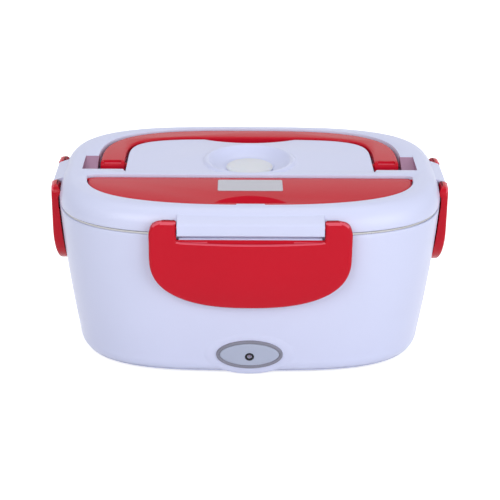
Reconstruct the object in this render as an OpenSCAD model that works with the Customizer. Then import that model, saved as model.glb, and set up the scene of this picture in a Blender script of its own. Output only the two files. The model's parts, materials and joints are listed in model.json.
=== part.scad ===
/* [Case] */
// Length of the case at its rim
case_l = 228.6; // [215:1:260]
// Width of the case at its rim
case_w = 163.4; // [158:1:190]
// Length of the case above its rounded foot
base_l = 210.4; // [200:1:214]
// Width of the case above its rounded foot
base_w = 147.4; // [140:1:155]
// Height of the case rim above the table
rim_z = 93.8; // [84:1:115]
// Squareness of the plan outline: 2 is an ellipse
plan_p = 3.3; // [2.9:0.1:3.8]
// Outward bow of the wall between foot and rim
wall_bow = 0.44; // [0.2:0.02:0.6]
// Wall thickness of the case
case_t = 2.4; // [1.8:0.1:3]
// Height at which the wall starts to round in towards the foot
toe_z = 11.5; // [9:0.5:14]
// How far the wall rounds in at the foot
toe_in = 7.2; // [4:0.2:9]
// Height of the joint between case and base cover
joint_z = 4.5; // [4:0.1:6]

/* [Base] */
// Height that the rubber feet lift the base
foot_h = 1.5; // [1:0.1:3]
// Radius of a rubber foot
foot_r = 6; // [4:0.5:9]
// Distance between the feet along the case
foot_span_x = 150; // [110:2:160]
// Distance between the feet across the case
foot_span_y = 84; // [60:2:90]
// Radius of the base screws' shanks
screw_r = 1.5; // [1.2:0.1:2]

/* [Lamp panel] */
// Half length of the lamp panel's oval frame
panel_a = 19.6; // [15:0.2:22]
// Half height of the lamp panel's oval frame
panel_b = 9.8; // [7:0.1:10.4]
// Height of the lamp panel's centre
panel_z = 16.1; // [15.4:0.1:19]
// Width of the oval frame's border
panel_border = 2.1; // [1.4:0.1:3]
// Margin of the moulded boss around the oval frame, along it
boss_a = 7.4; // [4:0.2:9]
// Radius of the lamp's opening
lens_r = 1.7; // [1.2:0.1:2.2]

/* [Food container] */
// Thickness of the steel sheet
pan_t = 0.9; // [0.6:0.1:1.4]
// Thickness of the container's rolled rim
pan_rim_t = 1.1; // [0.8:0.1:1.6]
// Height of the container's floor above the table
pan_floor_z = 34; // [32:1:48]
// Length of the side dish tray
tray_l = 56; // [45:1:66]
// Depth of the side dish tray
tray_d = 30; // [20:1:38]

/* [Lid] */
// Height of the lid's flat top above the case rim
lid_h = 14.8; // [14.2:0.1:18]
// Depth of the rounded shoulder, seen from the front
shoulder_w = 11.2; // [9:0.2:12]
// Depth of the rounded shoulder, seen from the end
shoulder_l = 8; // [6:0.2:10]
// Thickness of the lid's skirt
skirt_t = 3; // [2.4:0.1:3.4]
// Depth of the deck between the handle's legs
deck_in = 1.5; // [0.8:0.1:2.2]

/* [Vent] */
// Distance of the vent behind the lid's middle
vent_y = 9; // [6:0.5:12]
// Outer radius of the raised lip around the vent
vent_r = 28.3; // [22:0.5:30]
// Radius of the vent's flat floor
vent_floor_r = 17; // [15:0.5:19]
// Radius of the silicone valve
valve_r = 14.5; // [10:0.5:14.8]
// How far the valve can be pulled up
valve_lift = 2.4; // [1.5:0.1:2.6]

/* [Carry handle] */
// Outer length of the carry handle
handle_l = 182.6; // [176:1:186]
// Width of a handle leg
leg_w = 14.6; // [11:0.2:16]
// Width of the handle's rear bar
bar_w = 14.4; // [11:0.2:16]
// Distance of the handle's rear edge from the lid's middle
handle_y = 64.6; // [60:0.2:65]
// Thickness of the handle
handle_t = 7; // [6:0.2:7.6]
// Distance of the handle's pivots behind the lid's middle
handle_pivot_y = 7; // [6:0.5:9]
// Gap between the handle and its trough
trough_gap = 1.7; // [1:0.1:2.2]
// How far the trough runs in front of the lid's middle, for the fingertips
trough_front = 11; // [4:0.5:12]

/* [Spoon cover] */
// Length of the spoon compartment's cover
cover_l = 193.6; // [170:1:196]
// Width of the cover from its hinge edge to its front
cover_w = 45.8; // [38:0.2:47]
// Distance of the cover's rear edge in front of the lid's middle
cover_y = 21; // [19:0.2:22]
// Thickness of the cover
cover_t = 2.2; // [1.8:0.1:2.6]
// Radius of the thumb notch in the cover
notch_r = 24.4; // [20:0.2:28]
// Length of the blank plate on the cover
plate_l = 38; // [28:1:48]
// Width of the blank plate on the cover
plate_w = 17.6; // [12:0.2:19]

/* [Latches] */
// Half width of the front and rear latches
latch_half = 57.4; // [48:0.2:60]
// Half width of the lid's lug between the front latch's ears
lug_half = 41.4; // [34:0.2:43]
// Half width of the end latches
end_latch_half = 29.5; // [26:0.2:31]
// Half width of the lid's lug between an end latch's ears
end_lug_half = 16; // [12:0.2:17]
// How far a latch stands out from the rim
latch_out = 4.7; // [4.2:0.1:5.4]
// How far a latch reaches below the case rim
latch_reach = 43.4; // [36:0.2:48]
// Radius of a latch's hinge stubs
stub_r = 1.2; // [0.9:0.1:1.3]

/* [Hidden] */

white = "lavender";
red = "crimson";
steel = "silver";
dark = "dimgray";
ring_n = 64;            // points around a lofted outline
round_fn = 64;          // fineness of true circles
curve_fn = 720;         // fineness of the very large circles of the latches
fit_gap = 0.3;          // gap between pieces that lift apart
pin_gap = 0.05;         // radial clearance of a hinge stub
seat_gap = 0.1;         // gap under a piece that rests on another body

// A signed power, for superellipse outlines
function spow(v, e) = sign(v) * pow(abs(v), e);

// One closed ring of a superellipse of full size l by w at height z
function ring(l, w, z, p = plan_p) = [
    for (i = [0:ring_n - 1]) let (a = 360 * i / ring_n)
        [l / 2 * spow(cos(a), 2 / p), w / 2 * spow(sin(a), 2 / p), z]
];

// The same outline as a flat polygon's points
function outline(l, w, p = plan_p) = [for (q = ring(l, w, 0, p)) [q[0], q[1]]];

// How far up its slope the case wall is at height z: 0 at the foot, 1 at the rim
function rise(z) = let (t = (z - toe_z) / (rim_z - toe_z)) t + wall_bow * t * (1 - t);
function toe(z) = z >= toe_z ? 0
    : toe_in * (1 - sqrt(max(0, 1 - pow((toe_z - z) / (toe_z - foot_h), 2))));
function wall_l(z) = (z >= toe_z ? base_l + (case_l - base_l) * rise(z) : base_l) - 2 * toe(z);
function wall_w(z) = (z >= toe_z ? base_w + (case_w - base_w) * rise(z) : base_w) - 2 * toe(z);
function wall_ring(z, inset) = ring(wall_l(z) - 2 * inset, wall_w(z) - 2 * inset, z);

// A solid through a stack of rings with equally many points
module loft(rings) {
    n = len(rings[0]);
    m = len(rings);
    sides = [
        for (j = [0:m - 2], i = [0:n - 1])
            let (a = j * n + i, b = j * n + (i + 1) % n)
                each [[a, a + n, b], [b, a + n, b + n]]
    ];
    polyhedron(
        points = [for (r = rings) each r],
        faces = [
            [for (i = [0:n - 1]) i],
            each sides,
            [for (i = [0:n - 1]) (m - 1) * n + n - 1 - i],
        ]
    );
}

// A flat plate between two heights, cut to a superellipse
module plate(l, w, z0, z1, p = plan_p) {
    translate([0, 0, z0]) linear_extrude(z1 - z0) polygon(outline(l, w, p));
}

// A cylinder along the x axis, centred on the origin
module rod_x(r, length) {
    rotate([0, 90, 0]) cylinder(h = length, r = r, center = true, $fn = round_fn);
}

// Points of an arc, from angle a0 to angle a1
function arc(cx, cy, r, a0, a1, n = 8) = [
    for (i = [0:n]) let (a = a0 + (a1 - a0) * i / n) [cx + r * cos(a), cy + r * sin(a)]
];

// Points of a rectangle with rounded corners, centred on the origin
function rounded(l, w, r, n = 5) = [
    each arc(l / 2 - r, w / 2 - r, r, 0, 90, n),
    each arc(r - l / 2, w / 2 - r, r, 90, 180, n),
    each arc(r - l / 2, r - w / 2, r, 180, 270, n),
    each arc(l / 2 - r, r - w / 2, r, 270, 360, n),
];

// ---- Heights that pieces share ----
lid_top_z = rim_z + lid_h;
latch_z = rim_z - latch_reach;
pan_rim_z = rim_z + seat_gap;                  // underside of the container's rim
lid_z = pan_rim_z + pan_rim_t + 0.4;           // lower edge of the lid's skirt
core_z = lid_z + 2.8;                          // underside of the lid's top moulding
trough_z = core_z + 1.4;                       // floor of the handle's trough
deck_z = lid_top_z - deck_in;                  // deck between the handle's legs
cover_top_z = lid_top_z - 1.2;                 // top of the spoon cover
handle_top_z = lid_top_z - 0.6;                // top of the carry handle
shoulder_z = lid_z + 1.4;                      // where the lid's shoulder starts
liner_rim_z = rim_z - 1.2;                     // ledge that carries the liner
land_in = 7;                                   // width of the ledge inside the rim
liner_floor_z = pan_floor_z - 4.6;               // underside of the liner's floor
liner_floor_t = 2;
liner_t = 2;
liner_in = land_in + fit_gap;                  // liner's outer wall inside the case
plate_top_z = pan_floor_z - seat_gap;          // heater plate's top

// ---- Case ----
boss_b = panel_z - foot_h + 0.2;                // half height of the lamp's boss
panel_tilt = atan((case_w - base_w) / 2 * (1 + wall_bow) / (rim_z - toe_z));
inlet_z = 21;
inlet_y = base_w / 2 + (case_w - base_w) / 2 * rise(inlet_z);
socket_l = 16;
socket_w = 8.4;
socket_flange = 3;
catch_out = 1.3;
catch_z = rim_z - 2.4;
catch_side = 1;                                 // how much narrower than the lug the ledge is
lamp_drop = 1.4;                                // lamp below the panel's centre
lamp_back = 9;                                  // depth of the lamp's boss behind the wall

// Stands a drawing on the sloping front wall, with +Z pointing out of it
module on_front(z) {
    translate([0, -(base_w + (case_w - base_w) * rise(z)) / 2, z])
        rotate([90 + panel_tilt, 0, 0]) children();
}

// Places a drawing made for the front at each of the four sides in turn
module on_side(side) {
    rotate([0, 0, side]) children();
}

module lamp_boss(extra, back) {
    on_front(panel_z) translate([0, 0, -back]) linear_extrude(back + 0.4)
        polygon(outline(2 * (panel_a + boss_a + extra), 2 * (boss_b + extra), 2));
}

// The ledge that a latch hooks under
module catch_rib(side_d, half) {
    translate([-half, 0, 0]) rotate([90, 0, 90]) linear_extrude(2 * half)
        polygon([
            [-side_d + 1.5, rim_z - 0.4], [-side_d - catch_out + 0.6, rim_z - 0.4],
            [-side_d - catch_out, rim_z - 1], [-side_d - catch_out, catch_z],
            [-side_d + 1.5, catch_z],
        ]);
}

module base_post(x, y) {
    translate([x, y, base_floor_z])
        cylinder(h = liner_floor_z + 1 - base_floor_z, r = 3.6, $fn = round_fn);
}

base_floor_z = foot_h + 2;                      // inner floor of the base cover
post_x = foot_span_x / 2 - 10;
post_y = foot_span_y / 2 - 8;
post_spots = [for (x = [-1, 1], y = [-1, 1]) [x * post_x, y * post_y]];

module outer_case() {
    color(white) difference() {
        union() {
            loft([for (z = [joint_z, 7, toe_z, 24, 38, 52, 66, 80, rim_z]) wall_ring(z, 0)]);
            intersection() {
                lamp_boss(0, lamp_back);
                translate([-60, -base_w, foot_h]) cube([120, base_w, 60]);
            }
            for (side = [0, 180]) on_side(side) catch_rib(case_w / 2, lug_half - catch_side);
            for (side = [90, 270]) on_side(side) catch_rib(case_l / 2, end_lug_half - catch_side);
        }
        difference() {
            loft([for (z = [joint_z - 1, 7, toe_z, 38, 66, liner_rim_z - 2.4]) wall_ring(z, case_t)]);
            lamp_boss(0, lamp_back);
        }
        // Hollow of the boss, around the lamp's tube
        on_front(panel_z) difference() {
            translate([0, 0, -lamp_back - 3]) linear_extrude(lamp_back + 0.4)
                polygon(outline(2 * (panel_a + boss_a - case_t), 2 * (boss_b - case_t), 2));
            translate([0, -lamp_drop, -lamp_back - 4]) cylinder(h = 20, r = lens_r + 4.4, $fn = round_fn);
        }
        plate(case_l - 2 * land_in, case_w - 2 * land_in, liner_rim_z - 3, rim_z + 1);
        plate(case_l - 2 * case_t, case_w - 2 * case_t, liner_rim_z, rim_z + 1);
        // Recess for the oval frame, and the lamp's hole
        on_front(panel_z) translate([0, 0, -1]) linear_extrude(3)
            polygon(outline(2 * panel_a + 0.4, 2 * panel_b + 0.4, 2));
        on_front(panel_z) translate([0, -lamp_drop, -lamp_back - 3])
            cylinder(h = 20, r = lens_r + 1.4, $fn = round_fn);
        // Opening for the power inlet
        at_inlet() translate([0, 0, -8]) linear_extrude(12)
            polygon(rounded(socket_l + 4.4, socket_w + 4.4, 5));
    }
}

module inner_liner() {
    color("white") difference() {
        union() {
            loft([
                ring(wall_l(liner_floor_z) - 2 * liner_in - 9, wall_w(liner_floor_z) - 2 * liner_in - 9, liner_floor_z),
                ring(wall_l(liner_floor_z) - 2 * liner_in - 3, wall_w(liner_floor_z) - 2 * liner_in - 3, liner_floor_z + 3),
                wall_ring(liner_floor_z + 10, liner_in),
                wall_ring(62, liner_in),
                wall_ring(liner_rim_z, liner_in),
            ]);
            plate(case_l - 2 * case_t - 0.6, case_w - 2 * case_t - 0.6, liner_rim_z, rim_z);
            for (s = post_spots) base_post(s[0], s[1]);
        }
        loft([
            for (q = [[liner_floor_t, 5], [5, 1.2], [11, 0]])
                let (z = liner_floor_z + q[0], d = 2 * (liner_in + liner_t + q[1]))
                    ring(wall_l(z) - d, wall_w(z) - d, z),
            wall_ring(62, liner_in + liner_t),
            ring(case_l - 2 * (liner_in + liner_t), case_w - 2 * (liner_in + liner_t), rim_z + 1),
        ]);
        plate(heater_l - 8, heater_w - 8, liner_floor_z - 1, liner_floor_z + 3);
        for (s = post_spots) translate([s[0], s[1], 0])
            cylinder(h = joint_z + 12, r = screw_r + pin_gap, $fn = round_fn);
    }
}

module base_cover() {
    color(white) difference() {
        union() {
            loft([for (z = [foot_h, foot_h + 0.4, foot_h + 1.4, joint_z - 0.2]) wall_ring(z, 0)]);
            difference() {
                loft([wall_ring(joint_z - 1, case_t + fit_gap), wall_ring(joint_z + 3.5, case_t + fit_gap)]);
                loft([wall_ring(joint_z - 2, case_t + 2.2), wall_ring(joint_z + 5, case_t + 2.2)]);
            }
        }
        plate(base_l - 24, base_w - 24, base_floor_z, joint_z + 5);
        for (x = [-1, 1], y = [-1, 1])
            translate([x * foot_span_x / 2, y * foot_span_y / 2, 0])
                cylinder(h = foot_h + 1, r = foot_r + 0.2, $fn = round_fn);
        for (s = post_spots) translate([s[0], s[1], 0]) {
            cylinder(h = 20, r = screw_r + 0.2, $fn = round_fn);
            cylinder(h = foot_h + 0.9, r = 2 * screw_r + 0.2, $fn = round_fn);
        }
        intersection() {
            lamp_boss(fit_gap, lamp_back + 3);
            translate([-60, -base_w, -5]) cube([120, base_w, 60]);
        }
    }
}

module base_screws() {
    color(steel) for (s = post_spots) translate([s[0], s[1], foot_h]) difference() {
        union() {
            cylinder(h = 11, r = screw_r, $fn = round_fn);
            cylinder(h = 0.8, r = 2 * screw_r, $fn = round_fn);
        }
        for (a = [0, 90]) rotate([0, 0, a]) translate([-1.6, -0.3, -1]) cube([3.2, 0.6, 1.5]);
    }
}

module rubber_feet() {
    color(dark) for (x = [-1, 1], y = [-1, 1])
        translate([x * foot_span_x / 2, y * foot_span_y / 2, 0]) rotate_extrude($fn = round_fn)
            polygon([
                [0, 0], [foot_r - 0.6, 0], [foot_r, 0.6], [foot_r, foot_h + 1], [0, foot_h + 1],
            ]);
}

// ---- Heating ----
heater_l = 140;
heater_w = 92;
heater_flange_t = 1.6;
heater_under_z = liner_floor_z - 1.4;
ptc_l = 58;
ptc_w = 22;
ptc_t = 5;
clamp_t = 1.2;
fuse_l = 30;

module heater_plate() {
    color(steel) union() {
        plate(heater_l, heater_w, plate_top_z - heater_flange_t, plate_top_z);
        plate(heater_l - 9, heater_w - 9, heater_under_z, plate_top_z - 0.5);
        for (x = [-1, 1]) translate([x * (ptc_l / 2 + 8), 0, heater_under_z - ptc_t]) difference() {
            cylinder(h = ptc_t + 1, r = 3.4, $fn = round_fn);
            translate([0, 0, -1]) cylinder(h = 5, r = 1.25, $fn = round_fn);
        }
    }
}

module plate_gasket() {
    color("gainsboro") difference() {
        plate(heater_l - 1, heater_w - 1, liner_floor_z + liner_floor_t, plate_top_z - heater_flange_t);
        plate(heater_l - 7.6, heater_w - 7.6, liner_floor_z - 1, plate_top_z + 1);
    }
}

module ptc_heater() {
    color("gold") translate([0, 0, heater_under_z - ptc_t]) linear_extrude(ptc_t)
        polygon(rounded(ptc_l, ptc_w, 2));
}

module heater_clamp() {
    color(steel) difference() {
        translate([0, 0, heater_under_z - ptc_t - clamp_t]) linear_extrude(clamp_t)
            polygon(rounded(ptc_l + 26, 14, 6));
        for (x = [-1, 1]) translate([x * (ptc_l / 2 + 8), 0, 0])
            cylinder(h = heater_under_z, r = 1.5, $fn = round_fn);
    }
}

module clamp_screws() {
    color(steel) for (x = [-1, 1])
        translate([x * (ptc_l / 2 + 8), 0, heater_under_z - ptc_t - clamp_t]) {
            translate([0, 0, -1.6]) cylinder(h = 1.6, r = 2.6, $fn = round_fn);
            translate([0, 0, -0.5]) cylinder(h = 4.5, r = 1.2, $fn = round_fn);
        }
}

// The thermostat stands against the plate's underside, beside the heater
module thermostat() {
    color("black") translate([0, thermostat_y, heater_under_z]) mirror([0, 0, 1]) {
        cylinder(h = 6, r = 7.5, $fn = round_fn);
        cylinder(h = 7.4, r = 5.6, $fn = round_fn);
        for (x = [-1, 1]) translate([x * 3.4 - 0.4, -2, 7]) cube([0.8, 4, 4]);
    }
}

module thermal_fuse() {
    color(steel) translate([fuse_x, fuse_y, heater_under_z - 2.05]) {
        rod_x(2, 11);
        rod_x(0.5, fuse_l);
    }
}

// ---- Lamp ----
module lamp_bezel() {
    color("gray") on_front(panel_z) difference() {
        translate([0, 0, -0.9]) linear_extrude(2.1) polygon(outline(2 * panel_a, 2 * panel_b, 2));
        translate([0, 0, 0.4]) linear_extrude(3)
            polygon(outline(2 * (panel_a - panel_border), 2 * (panel_b - panel_border), 2));
        translate([0, -lamp_drop, -5]) cylinder(h = 10, r = lens_r + 1.3, $fn = round_fn);
    }
}

module lamp_face() {
    color("lightsteelblue") on_front(panel_z) difference() {
        translate([0, 0, 0.4]) linear_extrude(0.5)
            polygon(outline(2 * (panel_a - panel_border - 0.1), 2 * (panel_b - panel_border - 0.1), 2));
        translate([0, -lamp_drop, -5]) cylinder(h = 10, r = lens_r + 1.05, $fn = round_fn);
    }
}

// Black tube that centres the lamp in the panel
module lamp_holder() {
    color("black") on_front(panel_z) translate([0, -lamp_drop, -6]) difference() {
        cylinder(h = 7.2, r = lens_r + 1, $fn = round_fn);
        translate([0, 0, -1]) cylinder(h = 10, r = lens_r, $fn = round_fn);
    }
}

module indicator_led() {
    led_r = lens_r - 0.25;
    color("red") on_front(panel_z) translate([0, -lamp_drop, -lamp_back]) {
        cylinder(h = 1, r = lens_r + 0.6, $fn = round_fn);
        cylinder(h = lamp_back - 0.8, r = led_r, $fn = round_fn);
        translate([0, 0, lamp_back - 0.8]) sphere(r = led_r, $fn = 24);
    }
}

board_l = 24;
board_w = 12;

module lamp_board() {
    color("green") on_front(panel_z) translate([0, -lamp_drop, -lamp_back - 1.6]) linear_extrude(1.6)
        polygon(rounded(board_l, board_w, 1));
}

// ---- Power inlet, at the back of the case ----
pin_pitch = 8.6;
socket_depth = 12;

// Stands a drawing at the inlet, with +Z pointing out of the rear wall
module at_inlet() {
    translate([0, inlet_y, inlet_z]) rotate([-90 - panel_tilt, 0, 0]) children();
}

module inlet_socket() {
    color("black") at_inlet() difference() {
        union() {
            translate([0, 0, 0.6]) linear_extrude(1.4)
                polygon(rounded(socket_l + 2 * socket_flange + 1, socket_w + 2 * socket_flange + 1, 6));
            translate([0, 0, -socket_depth]) linear_extrude(socket_depth + 1)
                polygon(rounded(socket_l + 4, socket_w + 4, 4.6));
            // Tongue that carries the stopper's tab
            translate([-5, socket_w / 2 + socket_flange, 0.6]) cube([10, 5, 1.4]);
        }
        translate([0, 0, -socket_depth + 2]) linear_extrude(socket_depth + 2)
            polygon(rounded(socket_l, socket_w, socket_w / 2 - 0.1));
        for (x = [-1, 1]) translate([x * pin_pitch / 2, 0, -socket_depth - 1])
            cylinder(h = 6, r = 1.2, $fn = round_fn);
    }
}

module inlet_pins() {
    color("gold") at_inlet() for (x = [-1, 1])
        translate([x * pin_pitch / 2, 0, -socket_depth - 5])
            cylinder(h = socket_depth + 2.5, r = 1.2, $fn = round_fn);
}

// The silicone stopper that keeps the unused inlet clean; it folds down on its tab
module inlet_cap() {
    cap_l = socket_l + 4.4;
    cap_w = socket_w + 4.4;
    cap_tab = 5;
    color("whitesmoke") at_inlet() {
        translate([0, 0, 2.3]) linear_extrude(1.8) polygon(rounded(cap_l, cap_w, 5));
        translate([0, 0, 0.4]) linear_extrude(2.4)
            polygon(rounded(socket_l - 3, socket_w - 3, (socket_w - 3) / 2 - 0.1));
        translate([-4, cap_w / 2 - 2, 2.3]) cube([8, cap_tab, 1.2]);
        translate([0, cap_w / 2 - 2 + cap_tab, 2.9]) rod_x(0.8, 8);
    }
}

// A length of wire between two points
module lead(from, to) {
    v = to - from;
    translate(from) rotate([0, acos(v[2] / norm(v)), atan2(v[1], v[0])]) {
        cylinder(h = norm(v), r = wire_r, $fn = 16);
        translate([0, 0, norm(v)]) sphere(r = 1.3 * wire_r, $fn = 16);
    }
}

wire_r = 0.9;
thermostat_y = ptc_w / 2 + 16;
fuse_x = -22;
lead_end = 1.3 * wire_r + 0.05;                  // a lead's ball stops short of what it reaches
fuse_y = -ptc_w / 2 - 9;

module wiring() {
    pin_y = inlet_y - socket_depth - 6.2;
    pin_z = inlet_z + 3;
    low_z = heater_under_z - 13.6;
    fuse_z = heater_under_z - 2.05;
    side_x = ptc_l / 2 + 16;
    color("indianred") {
        // From one pin to the thermostat, and on to the heater
        lead([-pin_pitch / 2, pin_y, pin_z], [-3.4, thermostat_y + 1, low_z + 1.2]);
        lead([3.4, thermostat_y - 3.3, low_z + 2.4], [3.4, ptc_w / 2 + 1.4, heater_under_z - 3]);
        // From the other pin round the heater to the thermal fuse, and on to the heater
        lead([pin_pitch / 2, pin_y, pin_z], [side_x, 30, low_z]);
        lead([side_x, 30, low_z], [side_x, fuse_y - 4, low_z]);
        lead([side_x, fuse_y - 4, low_z], [fuse_x + fuse_l / 2 + 8, fuse_y, fuse_z - 1]);
        lead([fuse_x + fuse_l / 2 + 8, fuse_y, fuse_z - 1], [fuse_x + fuse_l / 2 + lead_end, fuse_y, fuse_z]);
        lead([fuse_x - fuse_l / 2 - wire_r - 0.3, fuse_y, fuse_z], [fuse_x - fuse_l / 2 - 6, fuse_y + 4, fuse_z]);
        lead([fuse_x - fuse_l / 2 - 6, fuse_y + 4, fuse_z], [-ptc_l / 2 - 1.2, -ptc_w / 2 + 2, fuse_z - 1]);
    }
}

// ---- Food container and tray ----
pan_in = liner_in + liner_t + 1.2;              // container's outer wall inside the case
tray_x = (case_l / 2 - pan_in - pan_t - 3) - tray_l / 2 - 12;
tray_w = case_w - 2 * pan_in - 2 * pan_t - 40;
tray_top_z = rim_z - 4.6;

module food_pan() {
    color(steel) difference() {
        union() {
            loft([
                for (q = [[0, 8], [1.6, 4.2], [5, 1.2], [11, 0]])
                    let (z = pan_floor_z + q[0], d = 2 * (pan_in + q[1]))
                        ring(wall_l(z) - d, wall_w(z) - d, z),
                wall_ring(62, pan_in),
                wall_ring(pan_rim_z, pan_in),
            ]);
            plate(case_l - 1.4, case_w - 1.4, pan_rim_z, pan_rim_z + pan_rim_t);
        }
        loft([
            for (q = [[pan_t, 8], [1.6 + pan_t, 4.2], [5 + pan_t, 1.2], [11, 0]])
                let (z = pan_floor_z + q[0], d = 2 * (pan_in + pan_t + q[1]))
                    ring(wall_l(z) - d, wall_w(z) - d, z),
            wall_ring(62, pan_in + pan_t),
            ring(case_l - 2 * (pan_in + pan_t), case_w - 2 * (pan_in + pan_t), rim_z + 3),
        ]);
    }
}

// The side dish tray stands on two feet of its own length on the container's floor
module side_tray() {
    tray_t = 1.6;
    floor_z = tray_top_z - tray_d;
    color("white") difference() {
        union() {
            translate([tray_x, 0, 0]) loft([
                ring(tray_l - 14, tray_w - 14, floor_z, 4),
                ring(tray_l - 8, tray_w - 8, floor_z + 3, 4),
                ring(tray_l - 2, tray_w - 2, tray_top_z, 4),
            ]);
            translate([tray_x, 0, 0]) plate(tray_l + 2, tray_w + 2, tray_top_z - 1.6, tray_top_z, 4);
            for (y = [-1, 1]) translate([tray_x - tray_l / 2 + 14, y * (tray_w / 2 - 22) - 2, pan_floor_z + pan_t + seat_gap])
                cube([tray_l - 28, 4, floor_z - pan_floor_z]);
        }
        translate([tray_x, 0, 0]) loft([
            ring(tray_l - 14 - 2 * tray_t, tray_w - 14 - 2 * tray_t, floor_z + tray_t, 4),
            ring(tray_l - 8 - 2 * tray_t, tray_w - 8 - 2 * tray_t, floor_z + 3 + tray_t, 4),
            ring(tray_l - 2 - 2 * tray_t, tray_w - 2 - 2 * tray_t, tray_top_z + 1, 4),
        ]);
    }
}

module tray_lid() {
    color(red) translate([tray_x, 0, 0]) difference() {
        union() {
            plate(tray_l + 5, tray_w + 5, tray_top_z + seat_gap, tray_top_z + 1.6, 4);
            difference() {
                plate(tray_l - 8, tray_w - 8, tray_top_z - 3, tray_top_z + 0.5, 4);
                plate(tray_l - 11, tray_w - 11, tray_top_z - 4, tray_top_z + 0.4, 4);
            }
            difference() {
                plate(tray_l + 5, tray_w + 5, tray_top_z - 2, tray_top_z + 0.5, 4);
                plate(tray_l + 2.6, tray_w + 2.6, tray_top_z - 3, tray_top_z + seat_gap, 4);
            }
        }
        plate(tray_l - 14, tray_w - 14, tray_top_z + 1.1, tray_top_z + 3, 4);
    }
}

// ---- Lid ----
pivot_out = 1.9;                                // latch hinge outside the rim
pivot_z = lid_z + 4.5;
ear_r = 3.9;
deck_front_y = -cover_y + 6;
handle_pivot_z = handle_top_z - 4;
handle_end_r = 4;
handle_stub_r = 1.8;
handle_outer_p = 3.1;
handle_inner_p = 4.4;

function half_outline(l, w, p) = [
    for (i = [0:32]) let (a = 180 * i / 32) [l / 2 * spow(cos(a), 2 / p), w * spow(sin(a), 2 / p)]
];

// Plan outline of the handle, grown by g all round, with its legs ending at y0
module handle_plan(g, y0) {
    polygon([
        [handle_l / 2 + g, y0],
        each [for (q = half_outline(handle_l + 2 * g, handle_y - handle_pivot_y + g, handle_outer_p))
            q + [0, handle_pivot_y]],
        [-handle_l / 2 - g, y0],
        [-handle_l / 2 + leg_w + g, y0],
        each [for (i = [32:-1:0])
            let (q = half_outline(handle_l - 2 * leg_w - 2 * g,
                handle_y - bar_w - handle_pivot_y - g, handle_inner_p)[i])
                q + [0, handle_pivot_y]],
        [handle_l / 2 - leg_w - g, y0],
    ]);
}

// Plan outline of the spoon cover, grown by g all round
cover_p = 2.4;
cover_corner = 5;
module cover_plan(g) {
    n = 36;
    front = [
        for (i = [0:n]) let (a = 180 * i / n)
            [-(cover_l / 2 + g) * spow(cos(a), 2 / cover_p),
             -cover_y - cover_corner * 0.4 - (cover_w - cover_corner * 0.4 + g) * spow(sin(a), 2 / cover_p)]
    ];
    polygon([
        [-cover_l / 2 + cover_corner - g, -cover_y + g],
        [-cover_l / 2 + 1.6 - g, -cover_y - 0.7 + g],
        each front,
        [cover_l / 2 - 1.6 + g, -cover_y - 0.7 + g],
        [cover_l / 2 - cover_corner + g, -cover_y + g],
    ]);
}

module lug(side_d, half) {
    translate([-half, 0, 0]) rotate([90, 0, 90]) linear_extrude(2 * half) polygon([
        [-side_d + 6, core_z + 1], [-side_d + skirt_t, core_z + 1], [-side_d + skirt_t, lid_z],
        each arc(-side_d - 3.2, lid_z + 1, 1, 270, 180, 4),
        each arc(-side_d - 2, pivot_z + 1.2, 2.2, 180, 115, 5),
        [-side_d + 3, lid_top_z - 3.6], [-side_d + 8, lid_top_z - 2],
    ]);
}

// Room in the lid's skirt for a latch's two ears to turn
module ear_room(side_d, half, lug_d) {
    for (s = [-1, 1]) translate([s * (half + lug_d + 0.4) / 2, -side_d - pivot_out, pivot_z])
        rod_x(ear_r + fit_gap, half - lug_d + 0.4);
}

module stub_bores(side_d, lug_d) {
    for (s = [-1, 1]) translate([s * (lug_d - 1.5), -side_d - pivot_out, pivot_z])
        rod_x(stub_r + pin_gap, 5);
}

module vent_cut() {
    translate([0, vent_y, 0]) {
        rotate_extrude($fn = round_fn) polygon([
            [0, core_z + 1.8], [vent_floor_r, core_z + 1.8],
            each [for (i = [1:6]) let (t = i / 6)
                [vent_floor_r + (vent_r - 3.4 - vent_floor_r) * t,
                 core_z + 1.8 + (lid_top_z - 0.3 - core_z - 1.8) * (0.25 * t + 0.75 * t * t)]],
            [vent_r - 2.4, lid_top_z + 0.1], [0, lid_top_z + 1],
        ]);
        translate([0, 0, core_z - 1]) cylinder(h = 5, r = valve_stem_r + pin_gap, $fn = round_fn);
    }
}

module lid_body() {
    loft([
        ring(case_l, case_w, lid_z),
        for (s = [0, 18, 36, 54, 72, 90])
            ring(case_l - 2 * shoulder_l * (1 - cos(s)), case_w - 2 * shoulder_w * (1 - cos(s)),
                shoulder_z + (lid_top_z - shoulder_z) * sin(s)),
    ]);
}

module deck_cut() {
    hx = handle_l / 2 - leg_w - trough_gap;
    translate([0, 0, deck_z]) linear_extrude(4) difference() {
        polygon([
            [-hx, deck_front_y + 1.5], [-hx + 1.5, deck_front_y],
            [hx - 1.5, deck_front_y], [hx, deck_front_y + 1.5],
            each [for (q = half_outline(2 * hx + 0.1, handle_y - bar_w - handle_pivot_y, handle_inner_p))
                q + [0, handle_pivot_y]],
        ]);
        translate([0, vent_y]) circle(r = vent_r, $fn = round_fn);
    }
}

// Hollow of the lid's top moulding, open from below
module lid_cores() {
    wall = 2;
    hx = handle_l / 2 - leg_w - trough_gap - 4.5;
    for (s = [-1, 1]) {
        x0 = vent_r + 2;
        translate([s > 0 ? x0 : -hx, deck_front_y, core_z - 1])
            cube([hx - x0, handle_y - bar_w - deck_front_y - 8, deck_z - wall - core_z + 1]);
    }
}

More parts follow.
